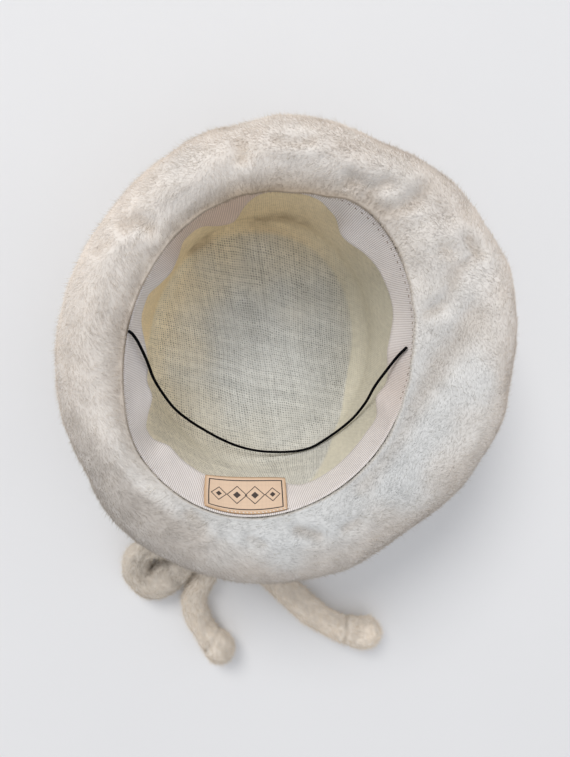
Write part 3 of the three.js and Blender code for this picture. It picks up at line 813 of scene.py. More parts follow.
def makeNapTree():
    tree, given, out = newGroup("grow_nap", "GeometryNodeTree", {
        "Cloth": ("NodeSocketGeometry", None),
        "Density": ("NodeSocketFloat", 1.0),
        "Length": ("NodeSocketFloat", 0.003),
        "Thickness": ("NodeSocketFloat", 0.0003),
        "Lift": ("NodeSocketFloat", 0.5),
        "Mess": ("NodeSocketFloat", 0.4),
        "Softness": ("NodeSocketFloat", 2.5),
        "Mask": ("NodeSocketString", "cover"),
        "Seed": ("NodeSocketInt", 0),
        "Finish": ("NodeSocketMaterial", None),
    }, {"Nap": "NodeSocketGeometry"})
    ask = given.outputs

    def attribute(name, kind):
        return storedValue(tree, name, kind)

    def random(kind, low, high, seedShift):
        return randomValue(tree, kind, low, high, maths(tree, "ADD", ask["Seed"], seedShift))

    def stored(geometry, name, kind, value):
        return newNode(tree, "GeometryNodeStoreNamedAttribute", {"data_type": kind, "domain": "POINT"},
                       Geometry=geometry, Name=name, Value=value).outputs[0]

    density = maths(tree, "MULTIPLY", ask["Density"], attribute(ask["Mask"], "FLOAT"))
    roots = newNode(tree, "GeometryNodeDistributePointsOnFaces", Mesh=ask["Cloth"], Density=density,
                    Seed=ask["Seed"])
    marked = stored(roots.outputs["Points"], "strand", "FLOAT", random("FLOAT", 0.0, 1.0, 11))
    facing = stored(marked, "cloth_normal", "FLOAT_VECTOR", roots.outputs["Normal"])

    upward = vectorMaths(tree, "SCALE", roots.outputs["Normal"], scale=ask["Lift"])
    anyWay = random("FLOAT_VECTOR", (-1, -1, -1), (1, 1, 1), 23)
    strayed = vectorMaths(tree, "SCALE", anyWay, scale=ask["Mess"])
    combed = vectorMaths(tree, "ADD", attribute("lay", "FLOAT_VECTOR"), upward)
    lean = vectorMaths(tree, "ADD", combed, strayed)
    turned = newNode(tree, "FunctionNodeAlignRotationToVector", {"axis": "Z"}, Vector=lean)

    fibre = newNode(tree, "GeometryNodeMeshCone", {"fill_type": "NGON"}, Vertices=3,
                    Radius_Top=0.0, Radius_Bottom=0.5, Depth=1.0)
    place = newNode(tree, "GeometryNodeInputPosition").outputs[0]
    height = newNode(tree, "ShaderNodeSeparateXYZ", Vector=place).outputs["Z"]
    graded = stored(fibre.outputs["Mesh"], "tipward", "FLOAT", height)

    length = maths(tree, "MULTIPLY", maths(tree, "MULTIPLY", ask["Length"], attribute("pile", "FLOAT")),
                   random("FLOAT", *fibreLengths, 37))
    size = newNode(tree, "ShaderNodeCombineXYZ", X=ask["Thickness"], Y=ask["Thickness"], Z=length)
    grown = newNode(tree, "GeometryNodeInstanceOnPoints", Points=facing, Instance=graded,
                    Rotation=turned.outputs[0], Scale=size.outputs[0])
    real = newNode(tree, "GeometryNodeRealizeInstances", Geometry=grown.outputs[0])
    # Each fibre is shaded mostly as the cloth under it, so that the pile looks soft.
    clothWay = vectorMaths(tree, "SCALE", attribute("cloth_normal", "FLOAT_VECTOR"), scale=ask["Softness"])
    ownWay = newNode(tree, "GeometryNodeInputNormal").outputs["Normal"]
    shading = vectorMaths(tree, "ADD", clothWay, ownWay)
    soft = newNode(tree, "GeometryNodeSetMeshNormal", {"mode": "FREE", "domain": "POINT"},
                   Mesh=real.outputs[0])
    own = next(socket for socket in soft.inputs if socket.type == "VECTOR")
    feed(tree, own, vectorMaths(tree, "NORMALIZE", shading))
    clean = newNode(tree, "GeometryNodeRemoveAttribute", Geometry=soft.outputs[0], Name="cloth_normal")
    done = newNode(tree, "GeometryNodeSetMaterial", Geometry=clean.outputs[0], Material=ask["Finish"])
    tree.links.new(done.outputs[0], out.inputs["Nap"])
    return tree


def runNodes(source, tree, name, values):
    modifier = source.modifiers.new(name, "NODES")
    modifier.node_group = tree
    for item in tree.interface.items_tree:
        if item.in_out == "INPUT" and item.name in values:
            modifier[item.identifier] = values[item.name]
    graph = bpy.context.evaluated_depsgraph_get()
    mesh = bpy.data.meshes.new_from_object(source.evaluated_get(graph), preserve_all_data_layers=True,
                                           depsgraph=graph)
    source.modifiers.remove(modifier)
    mesh.name = name
    return linked(name, mesh)


def growNap(cloth, layers, seedStart):
    for k, layer in enumerate(layers):
        nap = runNodes(cloth, napTree, layer["name"], {
            "Density": layer["perSquareMm"] / mm**2, "Length": layer["length"] * mm,
            "Thickness": layer["thickness"] * mm, "Lift": layer["lift"], "Mess": layer["mess"],
            "Softness": layer["softness"], "Mask": layer.get("mask", "cover"),
            "Seed": seedStart + k, "Finish": napFinishes[layer.get("finish", "pile")]})
        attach(nap, "root")
        print(f"{layer['name']}: {len(nap.data.polygons)} faces")


napTree = makeNapTree()
napFinishes = {"pile": napMaterial("plush_nap", (1, 1, 1, 1)),
               "stray": napMaterial("plush_stray", (0.66, 0.62, 0.52, 1)),
               "bowStray": napMaterial("bow_stray", (0.94, 0.91, 0.85, 1))}


# felt shell and its nap

shellNap = [
    {"name": "nap_under", "perSquareMm": 0.42, "length": 1.9, "thickness": 0.32, "lift": 0.60, "mess": 0.60,
     "softness": 4.0},
    {"name": "nap_main", "perSquareMm": 0.47, "length": 2.6, "thickness": 0.24, "lift": 0.42, "mess": 0.45,
     "softness": 4.0},
    {"name": "nap_top", "perSquareMm": 0.47, "length": 3.2, "thickness": 0.18, "lift": 0.36, "mess": 0.40,
     "softness": 3.5},
    {"name": "nap_stray", "perSquareMm": 0.40, "length": 4.6, "thickness": 0.15, "lift": 0.90, "mess": 0.80,
     "softness": 3.0, "mask": "edge", "finish": "stray"},
]


def makeShell():
    rows = (felt["rowsBelow"], felt["rowsAbove"], felt["rowsInside"])
    steps = [start + (k + 1) / count for start, count in enumerate(rows) for k in range(count)]
    stations = np.array([-0.66, -0.33, 0, *steps, *felt["rimRows"]])
    angle, station = np.meshgrid(roundAngles(felt["columns"]), stations)
    face = feltFace(angle, station)
    out = surfaceNormal(feltFace, angle, station)
    lumpy = lumpsAt(face, felt["lumps"], 1)
    loose = within(station, (0.25, 0.7), (2.8, 3))
    inward = felt["pileDepth"] * smoothStep(station, 0, 0.3) * (1 - smoothStep(station, 2.7, 3.0))
    cloth = face + out * (lumpy * loose - inward)[..., None]
    back = face - surfaceNormal(feltProfile, angle, station) * felt["wall"]
    total = len(stations)
    beforeRim = total - len(felt["rimRows"])
    sparse = [*range(0, beforeRim, felt["backStep"]), *range(beforeRim, total)][::-1]
    rings = [np.zeros(3), *cloth, *back[sparse], np.array([0, 0, felt["wall"]])]
    shell = ringMesh("felt_shell", rings, feltMaterial("plush_felt"),
                     uvSize={"round": felt["girth"], "byCentre": False})
    dressShell(shell, cloth, out, angle, station, len(sparse))
    return shell


# Which way the pile is combed.
def combShell(cloth, out, angle, station):
    around = polar(np.ones_like(angle), angle + math.pi / 2, 0 * angle)
    down = np.cross(out, around)
    swirl = lumpsAt(cloth, felt["swirls"], 5)
    swirl += (felt["slopeTurn"] * smoothStep(station, 1.7, 2.4)
              + felt["lipTurn"] * smoothStep(station, 2.6, 2.95))
    return around * np.cos(swirl)[..., None] + down * np.sin(swirl)[..., None]


# How thick the pile grows, how thick its stray fibres, and how long.
def shellPile(cloth, station):
    clearOfFloor = smoothStep(cloth[..., 2], *felt["bareBelow"])
    cover = blendOf(felt["thinUnder"], 1.0, smoothStep(station, 0.6, 0.98)) * clearOfFloor
    cover *= 1 - smoothStep(station, 3.04, 3.08)
    cover *= (1 + lumpsAt(cloth, felt["thickness"], 8)) * blendOf(
        1, felt["thickLip"], smoothStep(station, 2.75, 2.95))
    # Stray fibres grow round the widest line and on the lip, and few on the slope between them.
    widest = within(station, (0.62, 0.85), (1.05, 1.4))
    lip = smoothStep(station, 2.7, 2.9)
    slope = smoothStep(station, 1.0, 1.3)
    edge = clearOfFloor * (widest + felt["strayOnTop"] * slope + felt["strayOnLip"] * lip)
    edge *= 1 - smoothStep(station, 3.03, 3.06)
    pile = (1 + lumpsAt(cloth, felt["lengths"], 9)) * blendOf(
        1.0, felt["lipLength"], smoothStep(station, 2.4, 3.0))
    return np.maximum(cover, 0), np.maximum(edge, 0), pile


# Warm outside and cool inside, with painted light and shade by side round the roll, painted shade in the
# creases and towards the lip, and a painted contact shadow at its edge.
def shellTint(cloth, angle, station):
    coolShare, outerPaintedShading, innerPaintedShading, shift = (
        roundTable(feltFinish["toneAngle"], feltFinish[column], angle)
        for column in ("coolShare", "outerPaintedShading", "innerPaintedShading", "innerShift"))
    inner = smoothStep(station - shift + lumpsAt(cloth, feltFinish["border"], 10), 1.5, 2.15)
    coolness = np.clip(inner * coolShare, 0, 1)
    warm, cool = (np.array(feltFinish[key]) for key in ("warm", "cool"))
    # painted shade in the creases, deeper where the crease is deeper
    closed = feltFinish["creaseShade"] * onTop(station) * creaseDepth(cloth[..., 0], cloth[..., 1])
    closed = np.clip(closed, 0, feltFinish["creaseShadeMost"])[..., None]
    tint = blendOf(blendOf(warm, cool, coolness[..., None]), np.array(feltFinish["deep"]), closed)
    patchy = 1 + lumpsAt(cloth, feltFinish["patches"], 11)
    # painted light and shade by side, with uneven patches of the felt's own colour
    tint = tint * (patchy * blendOf(outerPaintedShading, innerPaintedShading, inner))[..., None]
    # painted shade towards the lip
    lipShare = roundTable(feltFinish["lipShadeAngle"], feltFinish["lipShadeShare"], angle)
    shaded = smoothStep(station, 2.25, 2.85) * lipShare
    tint = tint * blendOf(np.ones(3), np.array(feltFinish["lipShade"]), shaded[..., None])
    # painted contact shadow at the lip's very edge
    rim = smoothStep(station, 2.84, 2.98)
    return tint * blendOf(np.ones(3), np.array(feltFinish["rimShadow"]), rim[..., None])


def dressShell(shell, cloth, out, angle, station, backRows):
    # The back only repeats one value, because nothing grows there.
    def overBody(onCloth, onBack):
        onBack = np.asarray(onBack, float)
        back = np.broadcast_to(onBack, (backRows * onCloth.shape[1] + 1, *onBack.shape))
        return np.concatenate([onBack[None], onCloth.reshape(-1, *onCloth.shape[2:]), back])

    for name, values in zip(("cover", "edge", "pile"), shellPile(cloth, station)):
        addAttribute(shell.data, name, "FLOAT", overBody(values, 0))
    lay = combShell(cloth, out, angle, station)
    addAttribute(shell.data, "lay", "FLOAT_VECTOR", overBody(lay, (0, 0, 0)))
    tint = withAlpha(shellTint(cloth, angle, station))
    addAttribute(shell.data, "tint", "FLOAT_COLOR", overBody(tint, (*feltFinish["warm"], 1)))


shell = makeShell()
growNap(shell, [{**layer, "slot": "plush_felt"} for layer in shellNap], 100)
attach(shell, "root")
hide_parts("felt_body")
print("felt shell made")


# crown lining

lining = {
    "columns": 256,
    "wall": 1.0,
    "clearance": 0.3,
    "top": 99,
    "sideFoot": 30,
    "tipHeight": 17,
    "tipDrop": 4,
    "tipShare": 0.87,
    "foot": {"long": 86.5, "short": 75.5, "turn": 85},
    "shift": (-3, 3),
    "tipColour": (0.650, 0.660, 0.635),
    "edgeColour": (0.740, 0.655, 0.485),
    "sideColour": (0.715, 0.680, 0.560),
    "upperSideColour": (0.780, 0.640, 0.415),
    # colour of the painted shadows
    "shadowColour": (0.400, 0.310, 0.200),
    "gapShade": 0.82,       # how much darker the gaps between threads are
    "pitch": 1.55,
    "rowPitch": 1.4,
    "toneAngle": [0, 30, 60, 90, 120, 150, 180, 210, 240, 270, 300, 330],
    "tone": [0.84, 0.93, 1.0, 0.98, 1.0, 1.12, 1.26, 1.30, 1.16, 1.0, 0.95, 0.85],
    "middleTone": 1.06,
    "wrapAngle": [0, 60, 78, 100, 125, 150, 180, 215, 250, 285, 310, 330, 345],
    "wrapEnd": [0.98, 0.97, 0.92, 1.0, 1.25, 1.5, 1.9, 2.7, 2.9, 2.7, 2.1, 1.35, 1.05],
    "slack": [(26, 0.5)],   # size and height of the cloth's unevenness
    "border": [(22, 0.25)],     # how much the line where the tip turns browner strays
    "patches": [(18, 0.05)],
    "netPatches": [(20, 0.5)],
    # painted highlight along the raised line where the tip's cloth meets the side's
    "seamHighlight": 0.12,
    "brownSide": 140,       # the direction in which the cloth is brownest, in degrees
    "brownShare": (0.15, 1.0),      # how brown the tip's edge is away from that side and on it
    "sideNet": (0.15, 0.5),     # how much of the net shows on the side wall, in the same way
    # painted shadows under a lobe of the ribbon and along wrinkles near the top of the wall: how dark and
    # how uneven
    "shadowShare": 0.6,
    "shadowLumps": [(5, 1.0)],
    # painted shadows: place and radius
    "paintedShadows": [(-46, 70, 24, 8), (-52, 64, 24, 6), (5.6, 87, 34, 9), (-8, 86, 24, 8), (16, 86, 34, 8)],
    "threadTurns": (-11, 10),   # degrees that the two runs of thread lean, pulled out of square
    "rim": 2.96,            # station where the cloth ends, under the ribbon's edge
    # shallow wrinkles and ridges in the cloth: x1, y1, x2, y2, width, depth
    "wrinkles": [
        (-47, -64, -26, -72.5, 1.6, -0.8), (-20, -66, 12, -64, 3, 0.6), (18, -60, 40, -52, 3, 0.6),
        (-62, 20, -50, 8, 3, -0.6), (-60, 2, -52, -14, 3, -0.5), (-30, -30, 22, -36, 5, 0.5),
        (-66, 32, -58, 18, 4, 0.8), (-56, 62, -44, 70, 5, 1.0), (10, 60, 34, 40, 5, 0.6),
    ],
    "fleck": (31, -56.8, 14, 0.8),      # a dark speck on the tip: place and radius
    "fleckColour": (0.10, 0.07, 0.05, 1),
    "wander": 1.3,          # how far the threads stray, in pitches
    "wanderSize": 11,
    "slubSize": 4,
    "relief": (0.5, 0.3),   # strength and depth of the bumps
    # what the colour is multiplied by where each pattern is least and most
    "gapTone": (1.09, 0.09),
    "threadTone": (0.87, 1.11),
    "slubTone": (0.93, 1.06),
    "tipRows": 56,
    "cornerRows": 13,
    "sideRows": 23,
    "backStep": 4,          # the back has one row for so many of the face
}


def liningPoint(radius, angle, z):
    lean = (opening["height"] - z) / (opening["height"] - lining["tipHeight"])
    shiftX, shiftY = lining["shift"]
    return polar(radius, angle, z) + np.stack([shiftX * lean, shiftY * lean, 0 * lean], -1)


def liningRadius(angle, z):
    up = (z - lining["sideFoot"]) / (lining["top"] - lining["sideFoot"])
    top = openingRadius(angle) + lining["clearance"]
    return blendOf(ellipseRadius(angle, lining["foot"]), top, up)


# Station 0-1 over the tip, 1-2 round the corner and 2-3 up the side wall.
def liningFace(angle, station):
    angle, station = np.broadcast_arrays(np.asarray(angle, float), np.asarray(station, float))
    tipShare, tipHeight, foot = (lining[key] for key in ("tipShare", "tipHeight", "sideFoot"))
    swing = np.clip(station - 1, 0, 1) * math.pi / 2
    share = np.where(station < 1, tipShare * station, blendOf(tipShare, 1, np.sin(swing)))
    z = np.where(station < 1, tipHeight - lining["tipDrop"] * (1 - station**2),
                 blendOf(tipHeight, foot, 1 - np.cos(swing)))
    z = np.where(station > 2, blendOf(foot, lining["top"], station - 2), z)
    radius = ellipseRadius(angle, lining["foot"]) * share
    return liningPoint(np.where(station > 2, liningRadius(angle, z), radius), angle, z)


def liningMaterial():
    material, tree, shader = newMaterial("stiffened_net", Roughness=0.85, Specular_IOR_Level=0.25)
    net = surfaceValue(tree, "net")
    place = uvPlace(tree, "threads")
    cloth = placeGroup(tree, weave, **{
        "Vector": place, "Across Pitch": lining["pitch"] * mm, "Along Pitch": lining["rowPitch"] * mm,
        "Wander": lining["wander"], "Wander Size": lining["wanderSize"] * mm})
    slub = placeGroup(tree, mottle, Vector=place, Size=lining["slubSize"] * mm)
    gap = maths(tree, "MULTIPLY", cloth.outputs["Gap"], lining["gapShade"])
    dark = maths(tree, "MULTIPLY", gap, net)
    shade = shadeBy(tree, surfaceValue(tree, "tint", "Color"), dark, *lining["gapTone"])
    uneven = maths(tree, "SUBTRACT", cloth.outputs["Thread Tone"], 0.5)
    uneven = maths(tree, "ADD", maths(tree, "MULTIPLY", uneven, net), 0.5)
    shade = shadeBy(tree, shade, uneven, *lining["threadTone"])
    shade = shadeBy(tree, shade, slub.outputs["Tone"], *lining["slubTone"])
    *middle, radius = lining["fleck"]
    away = newNode(tree, "ShaderNodeVectorMath", {"operation": "DISTANCE"})
    feed(tree, away.inputs[0], objectPlace(tree))
    away.inputs[1].default_value = [x * mm for x in middle]
    speck = maths(tree, "LESS_THAN", away.outputs["Value"], radius * mm)
    shade = mixColour(tree, speck, shade, lining["fleckColour"])
    feed(tree, shader.inputs["Base Color"], shade)
    feed(tree, shader.inputs["Normal"], bumpFrom(tree, cloth.outputs["Height"], lining["relief"]))
    return material


def wrinkleDepth(point):
    depth = np.zeros(point.shape[:-1])
    for x1, y1, x2, y2, width, height in lining["wrinkles"]:
        away = awayFromLine(point[..., 0], point[..., 1], x1, y1, x2, y2)
        depth += height * np.exp(-((away / width) ** 2))
    return depth


# The colour, browner towards one side and up its wall, with painted shadows under the ribbon's lobe and in
# wrinkles and a painted highlight where the tip's cloth meets the side's, and how much of the net shows.
def liningTint(face, angle, station):
    brownSide = 0.5 + 0.5 * np.cos(angle - math.radians(lining["brownSide"]))
    nearEdge = smoothStep(station + lumpsAt(face, lining["border"], 25), 0.25, 1.3)
    nearEdge = nearEdge * blendOf(*lining["brownShare"], brownSide)
    wrapEnd = roundTable(lining["wrapAngle"], lining["wrapEnd"], angle)
    onSide = smoothStep(station, wrapEnd - 0.03, wrapEnd + blendOf(0.04, 0.4, brownSide))
    tip, edge, side, upperSide = (
        np.array(lining[key]) for key in ("tipColour", "edgeColour", "sideColour", "upperSideColour"))
    side = blendOf(side, upperSide, smoothStep(brownSide, 0.3, 0.9)[..., None])
    tint = blendOf(blendOf(tip, edge, nearEdge[..., None]), side, onSide[..., None])
    # painted shadows under the ribbon's lobe and in the wrinkles
    for x, y, z, radius in lining["paintedShadows"]:
        away = np.linalg.norm(face - [x, y, z], axis=-1)
        shadow = lining["shadowShare"] * np.exp(-((away / radius) ** 2))
        shadow = shadow * (1 + lumpsAt(face, lining["shadowLumps"], 23))
        tint = blendOf(tint, np.array(lining["shadowColour"]), np.clip(shadow, 0, 1)[..., None])
    # painted highlight along the raised line where the tip's cloth meets the side's, away from the brown
    # side
    seam = np.exp(-(((station - wrapEnd + 0.02) / 0.015) ** 2)) * (1 - brownSide)
    tone = roundTable(lining["toneAngle"], lining["tone"], angle)
    tone = blendOf(lining["middleTone"], tone, smoothStep(station, 0.2, 0.9))
    patchy = 1 + lumpsAt(face, lining["patches"], 21) + lining["seamHighlight"] * seam
    net = blendOf(1.0, blendOf(*lining["sideNet"], brownSide), onSide)
    return tint * (tone * patchy)[..., None], net * (1 + lumpsAt(face, lining["netPatches"], 24))


def makeLining():
    stations = np.concatenate([np.linspace(0.02, 1, lining["tipRows"]),
                               np.linspace(1, 2, lining["cornerRows"] + 1)[1:],
                               np.linspace(2, lining["rim"], lining["sideRows"] + 1)[1:]])
    angle, station = np.meshgrid(roundAngles(lining["columns"]), stations)
    face = liningFace(angle, station)
    out = surfaceNormal(liningFace, angle, station)
    uneven = lumpsAt(face, lining["slack"], 22) + wrinkleDepth(face)
    slack = (1 - smoothStep(station, 1.6, 2.6)) * uneven
    flat = face + out * lining["wall"]
    face = face + np.stack([0 * slack, 0 * slack, -slack], -1)
    tip = liningPoint(0.0, 0.0, np.array(float(lining["tipHeight"] - lining["tipDrop"])))
    sparse = [*range(0, len(stations), lining["backStep"]), len(stations) - 1][::-1]
    rings = [tip, *face, *flat[sparse], tip - [0, 0, lining["wall"]]]
    piece = ringMesh("crown_cloth", rings, liningMaterial())
    mesh = piece.data

    def overBody(onTip, onFace):
        return np.concatenate([[onTip], *onFace, *onFace[sparse], [onTip]])

    # The threads run straight across the tip, so the cloth is laid out flat from its middle.
    run = np.concatenate([[0], np.cumsum(np.linalg.norm(np.diff(face[:, 0], axis=0), axis=1))])
    reach = (run + np.linalg.norm(face[0, 0] - tip))[:, None]
    across, along = (angle + math.radians(turn) for turn in lining["threadTurns"])
    laidOut = np.stack([reach * np.cos(across), reach * np.sin(along)], -1)
    addUv(mesh, "threads", overBody([0, 0], laidOut) * mm)
    tint, net = liningTint(face, angle, station)
    addAttribute(mesh, "tint", "FLOAT_COLOR", overBody([*lining["tipColour"], 1], withAlpha(tint)))
    addAttribute(mesh, "net", "FLOAT", overBody(1, net))
    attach(piece, "root")
    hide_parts("crown_lining")
    print("lining made")


makeLining()


# grosgrain sweatband

ribbon = {
    "columns": 2028,
    "rows": 9,
    "top": 99,
    "width": 24,
    "wall": 0.8,
    "gap": 0.4,
    "droop": 1.3,           # how the stand-off grows towards the free edge
    "tuckAngle": [0, 66, 71, 76, 82, 97, 102, 107, 112, 200, 300],
    "tuck": [0, 0, 1, 9, 13, 13, 9, 1, 0, 0, 0],    # how far its free edge is turned up
    "edge": 0.15,           # thickness left at its two edges
    "ribPitch": 1.1,
    "ribHeight": 0.18,
    "girth": 558,           # length of its line round the opening
    "cloudSize": 10,
    "cloudTone": (0.96, 1.03),
    "colour": (0.930, 0.895, 0.885),
    # colour of the painted shade in the grooves between the ribs
    "grooveShade": (0.430, 0.370, 0.350),
    # painted light and shade round the band: what it is multiplied by at each angle, lighter where it faces
    # the light, darker and warmer where the lip shades it near 110 degrees
    "toneAngle": [0, 45, 80, 110, 150, 180, 225, 270, 315],
    "tone": [0.97, 1.10, 0.98, 0.91, 0.98, 1.11, 1.10, 1.05, 1.0],
    "shadeTone": (0.85, 0.68, 0.55),     # what the darkest part is multiplied by
    "waveAngle": [4, 12, 22, 33, 43, 50, 58, 63, 68, 73, 95, 103, 109, 115, 122, 130, 137, 144, 151,
                   158, 168, 180, 189, 196, 204, 211, 215, 220, 226, 234, 245, 254, 263, 272, 279, 284,
                   290, 302, 324, 333, 341, 350],
    "waveStand": [6, 4.6, 1.8, 2.1, 3.6, 6.2, 9.6, 8.8, 2, 0, 0, 5.2, 8.4, 6.4, 0.8, 0, 4.2, 5.8, 3.6,
                   0, 0.5, 6, 8, 7.1, 9, 3.2, 0, 1, 6.2, 6.3, 6.8, 8, 9.6, 10, 8, 3.4, 0.8, 0.2, 0.8,
                   0.2, 5.6, 2.6],
}


# What is left of the ribbon's width where its free edge is turned up under the lip.
def ribbonWidth(angle):
    return ribbon["width"] - np.maximum(roundTable(ribbon["tuckAngle"], ribbon["tuck"], angle), 0)


def bandFace(angle, z, inset):
    down = (ribbon["top"] - z) / ribbon["width"]
    wave = np.maximum(roundTable(ribbon["waveAngle"], ribbon["waveStand"], angle), 0)
    stand = wave * down ** ribbon["droop"]
    return liningPoint(liningRadius(angle, z) - inset - stand, angle, z)


def ribbonMaterial():
    material, tree, shader = newMaterial("grosgrain", Roughness=0.6, Sheen_Weight=0.15)
    cloud = placeGroup(tree, mottle, Vector=objectPlace(tree), Size=ribbon["cloudSize"] * mm)
    # the grooves between the ribs are darkened as painted shade
    ridge = maths(tree, "POWER", surfaceValue(tree, "rib"), 0.6)
    colour = mixColour(tree, ridge, (*ribbon["grooveShade"], 1), (*ribbon["colour"], 1))
    colour = mixColour(tree, 1.0, colour, surfaceValue(tree, "tint", "Color"), "MULTIPLY")
    colour = shadeBy(tree, colour, cloud.outputs["Tone"], *ribbon["cloudTone"])
    feed(tree, shader.inputs["Base Color"], colour)
    return material


def makeRibbon():
    share = np.concatenate([[0, 0.02], np.linspace(0.1, 0.9, ribbon["rows"] - 4), [0.98, 1]])
    angle, share = np.meshgrid(roundAngles(ribbon["columns"]), share)
    z = ribbon["top"] - share * ribbonWidth(angle)
    ribs = round(ribbon["girth"] / ribbon["ribPitch"])
    wave = 0.5 + 0.5 * np.cos(angle * ribs)
    thick = ribbon["wall"] - ribbon["ribHeight"] * (1 - wave)
    thick[[0, -1]] = ribbon["edge"]
    face = bandFace(angle, z, ribbon["gap"] + thick)
    backRows = [-1, ribbon["rows"] // 2, 0]
    back = bandFace(angle, z, ribbon["gap"])[backRows]
    piece = ringMesh("sweatband_ribbon", [*face, *back], ribbonMaterial(), endless=True)
    addAttribute(piece.data, "rib", "FLOAT", np.concatenate([wave, wave[backRows]]))
    # painted light and shade round the band
    tone = roundTable(ribbon["toneAngle"], ribbon["tone"], angle)
    shaded = smoothStep(1 - tone, 0.0, 0.10)[..., None]
    tint = withAlpha(tone[..., None] * blendOf(np.ones(3), np.array(ribbon["shadeTone"]), shaded))
    addAttribute(piece.data, "tint", "FLOAT_COLOR", np.concatenate([tint, tint[backRows]]))
    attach(piece, "root")
    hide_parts("sweatband")
    print("ribbon made")


makeRibbon()


# label

label = {
    "wall": 0.6,
    "top": 98.6,
    "foot": (79.5, 76),     # height of its lower edge at each end
    "gap": 0.6,
    "footEnds": (245.5, 281),
    "topEnds": (248.5, 279),
    "columns": 60,
    "rows": 28,
    "straighten": 0.75,     # share of the way from the ribbon's curve to a straight free edge
    "straightenCurve": 0.8,     # the power by which that share falls away up the label
    "stand": 2.2,           # how much further its free edge stands from the ribbon
    "standCurve": 1.5,
    "colour": (0.790, 0.590, 0.435),
    "edgeColour": (0.600, 0.385, 0.220),
    # width of the darker band along its edges
    "darkEdge": 1.5,
    "lineColour": (0.060, 0.045, 0.040),
    "flatSize": (46.0, 23.0),           # width and height that the woven border is laid out on
    "borderInset": 2.4,
    "lineWidth": 0.7,
    "diamonds": [(-15, 4.2), (-5, 5.4), (5, 5.4), (15, 4.2)],   # place along the middle, half width
    "diamondCore": 0.4,     # filled share of each diamond
    "threadPitch": (0.012, 0.03),       # as shares of its width and height
    "threadTone": 0.92,
    "relief": (0.2, 0.1),   # strength and depth of the bumps
}


# A plain woven border with a row of diamonds inside it.
def labelMaterial():
    material, tree, shader = newMaterial("satin", Roughness=0.45, Sheen_Weight=0.1)
    place = uvPlace(tree, "label")
    parts = newNode(tree, "ShaderNodeSeparateXYZ", Vector=place)
    halfWide, halfHigh = (size / 2 for size in label["flatSize"])
    x = maths(tree, "MULTIPLY", maths(tree, "SUBTRACT", parts.outputs[0], 0.5), 2 * halfWide)
    y = maths(tree, "MULTIPLY", maths(tree, "SUBTRACT", parts.outputs[1], 0.5), 2 * halfHigh)
    fromEdge = maths(tree, "MINIMUM", maths(tree, "SUBTRACT", halfWide, maths(tree, "ABSOLUTE", x)),
                     maths(tree, "SUBTRACT", halfHigh, maths(tree, "ABSOLUTE", y)))

    def lineAt(distance, middle):
        away = maths(tree, "ABSOLUTE", maths(tree, "SUBTRACT", distance, middle))
        return maths(tree, "LESS_THAN", away, label["lineWidth"] / 2)

    lines = lineAt(fromEdge, label["borderInset"])
    for middle, half in label["diamonds"]:
        across = maths(tree, "ABSOLUTE", maths(tree, "SUBTRACT", x, middle))
        fromMiddle = maths(tree, "ADD", across, maths(tree, "ABSOLUTE", y))
        lines = maths(tree, "MAXIMUM", lines, lineAt(fromMiddle, half))
        core = maths(tree, "LESS_THAN", fromMiddle, half * label["diamondCore"])
        lines = maths(tree, "MAXIMUM", lines, core)
    acrossPitch, alongPitch = label["threadPitch"]
    cloth = placeGroup(tree, weave, **{
        "Vector": place, "Across Pitch": acrossPitch, "Along Pitch": alongPitch})
    darker = tuple(label["threadTone"] * c for c in label["colour"])
    colour = mixColour(tree, cloth.outputs["Thread Tone"], (*label["colour"], 1), (*darker, 1))
    # darker along its edges
    darkEdge = newNode(tree, "ShaderNodeMapRange", Value=fromEdge, From_Max=label["darkEdge"])
    colour = mixColour(tree, darkEdge.outputs[0], (*label["edgeColour"], 1), colour)
    feed(tree, shader.inputs["Base Color"], mixColour(tree, lines, colour, (*label["lineColour"], 1)))
    feed(tree, shader.inputs["Normal"], bumpFrom(tree, cloth.outputs["Height"], label["relief"]))
    return material


def makeLabel():
    up, along = np.meshgrid(np.linspace(0, 1, label["rows"]), np.linspace(0, 1, label["columns"]),
                            indexing="ij")
    start = np.radians(blendOf(label["footEnds"][0], label["topEnds"][0], up))
    end = np.radians(blendOf(label["footEnds"][1], label["topEnds"][1], up))
    angle = blendOf(start, end, along)
    z = blendOf(blendOf(*label["foot"], along), label["top"], up)
    stand = label["stand"] * (1 - up) ** label["standCurve"]
    inset = ribbon["gap"] + ribbon["wall"] + label["gap"] + stand
    back = bandFace(angle, z, inset)
    face = bandFace(angle, z, inset + label["wall"])
    chord = blendOf(back[:, :1], back[:, -1:], along[..., None])
    share = label["straighten"] * (1 - up) ** label["straightenCurve"]
    flatten = (chord - back) * share[..., None]
    back, face = back + flatten, face + flatten
    points = np.concatenate([face.reshape(-1, 3), back.reshape(-1, 3)])
    index = np.arange(up.size).reshape(up.shape)
    corners = [index[:-1, :-1], index[:-1, 1:], index[1:, 1:], index[1:, :-1]]
    front = np.stack(corners, -1).reshape(-1, 4)
    behind = front[:, [0, 3, 2, 1]] + up.size
    faces = [*front, *behind]
    edge = np.concatenate([index[0, :], index[1:, -1], index[-1, -2::-1], index[-2:0:-1, 0]])
    for here, there in zip(edge, np.roll(edge, -1)):
        faces.append((there, here, here + up.size, there + up.size))
    mesh = newMesh("label_cloth", points, facingOut(points, faces))
    flat = np.stack([along, up], -1).reshape(-1, 2)
    addUv(mesh, "label", np.concatenate([flat, flat]))
    piece = addObject("label_cloth", mesh, labelMaterial())
    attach(piece, "root")
    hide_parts("label")
    print("label made")


makeLabel()


# hand stitches

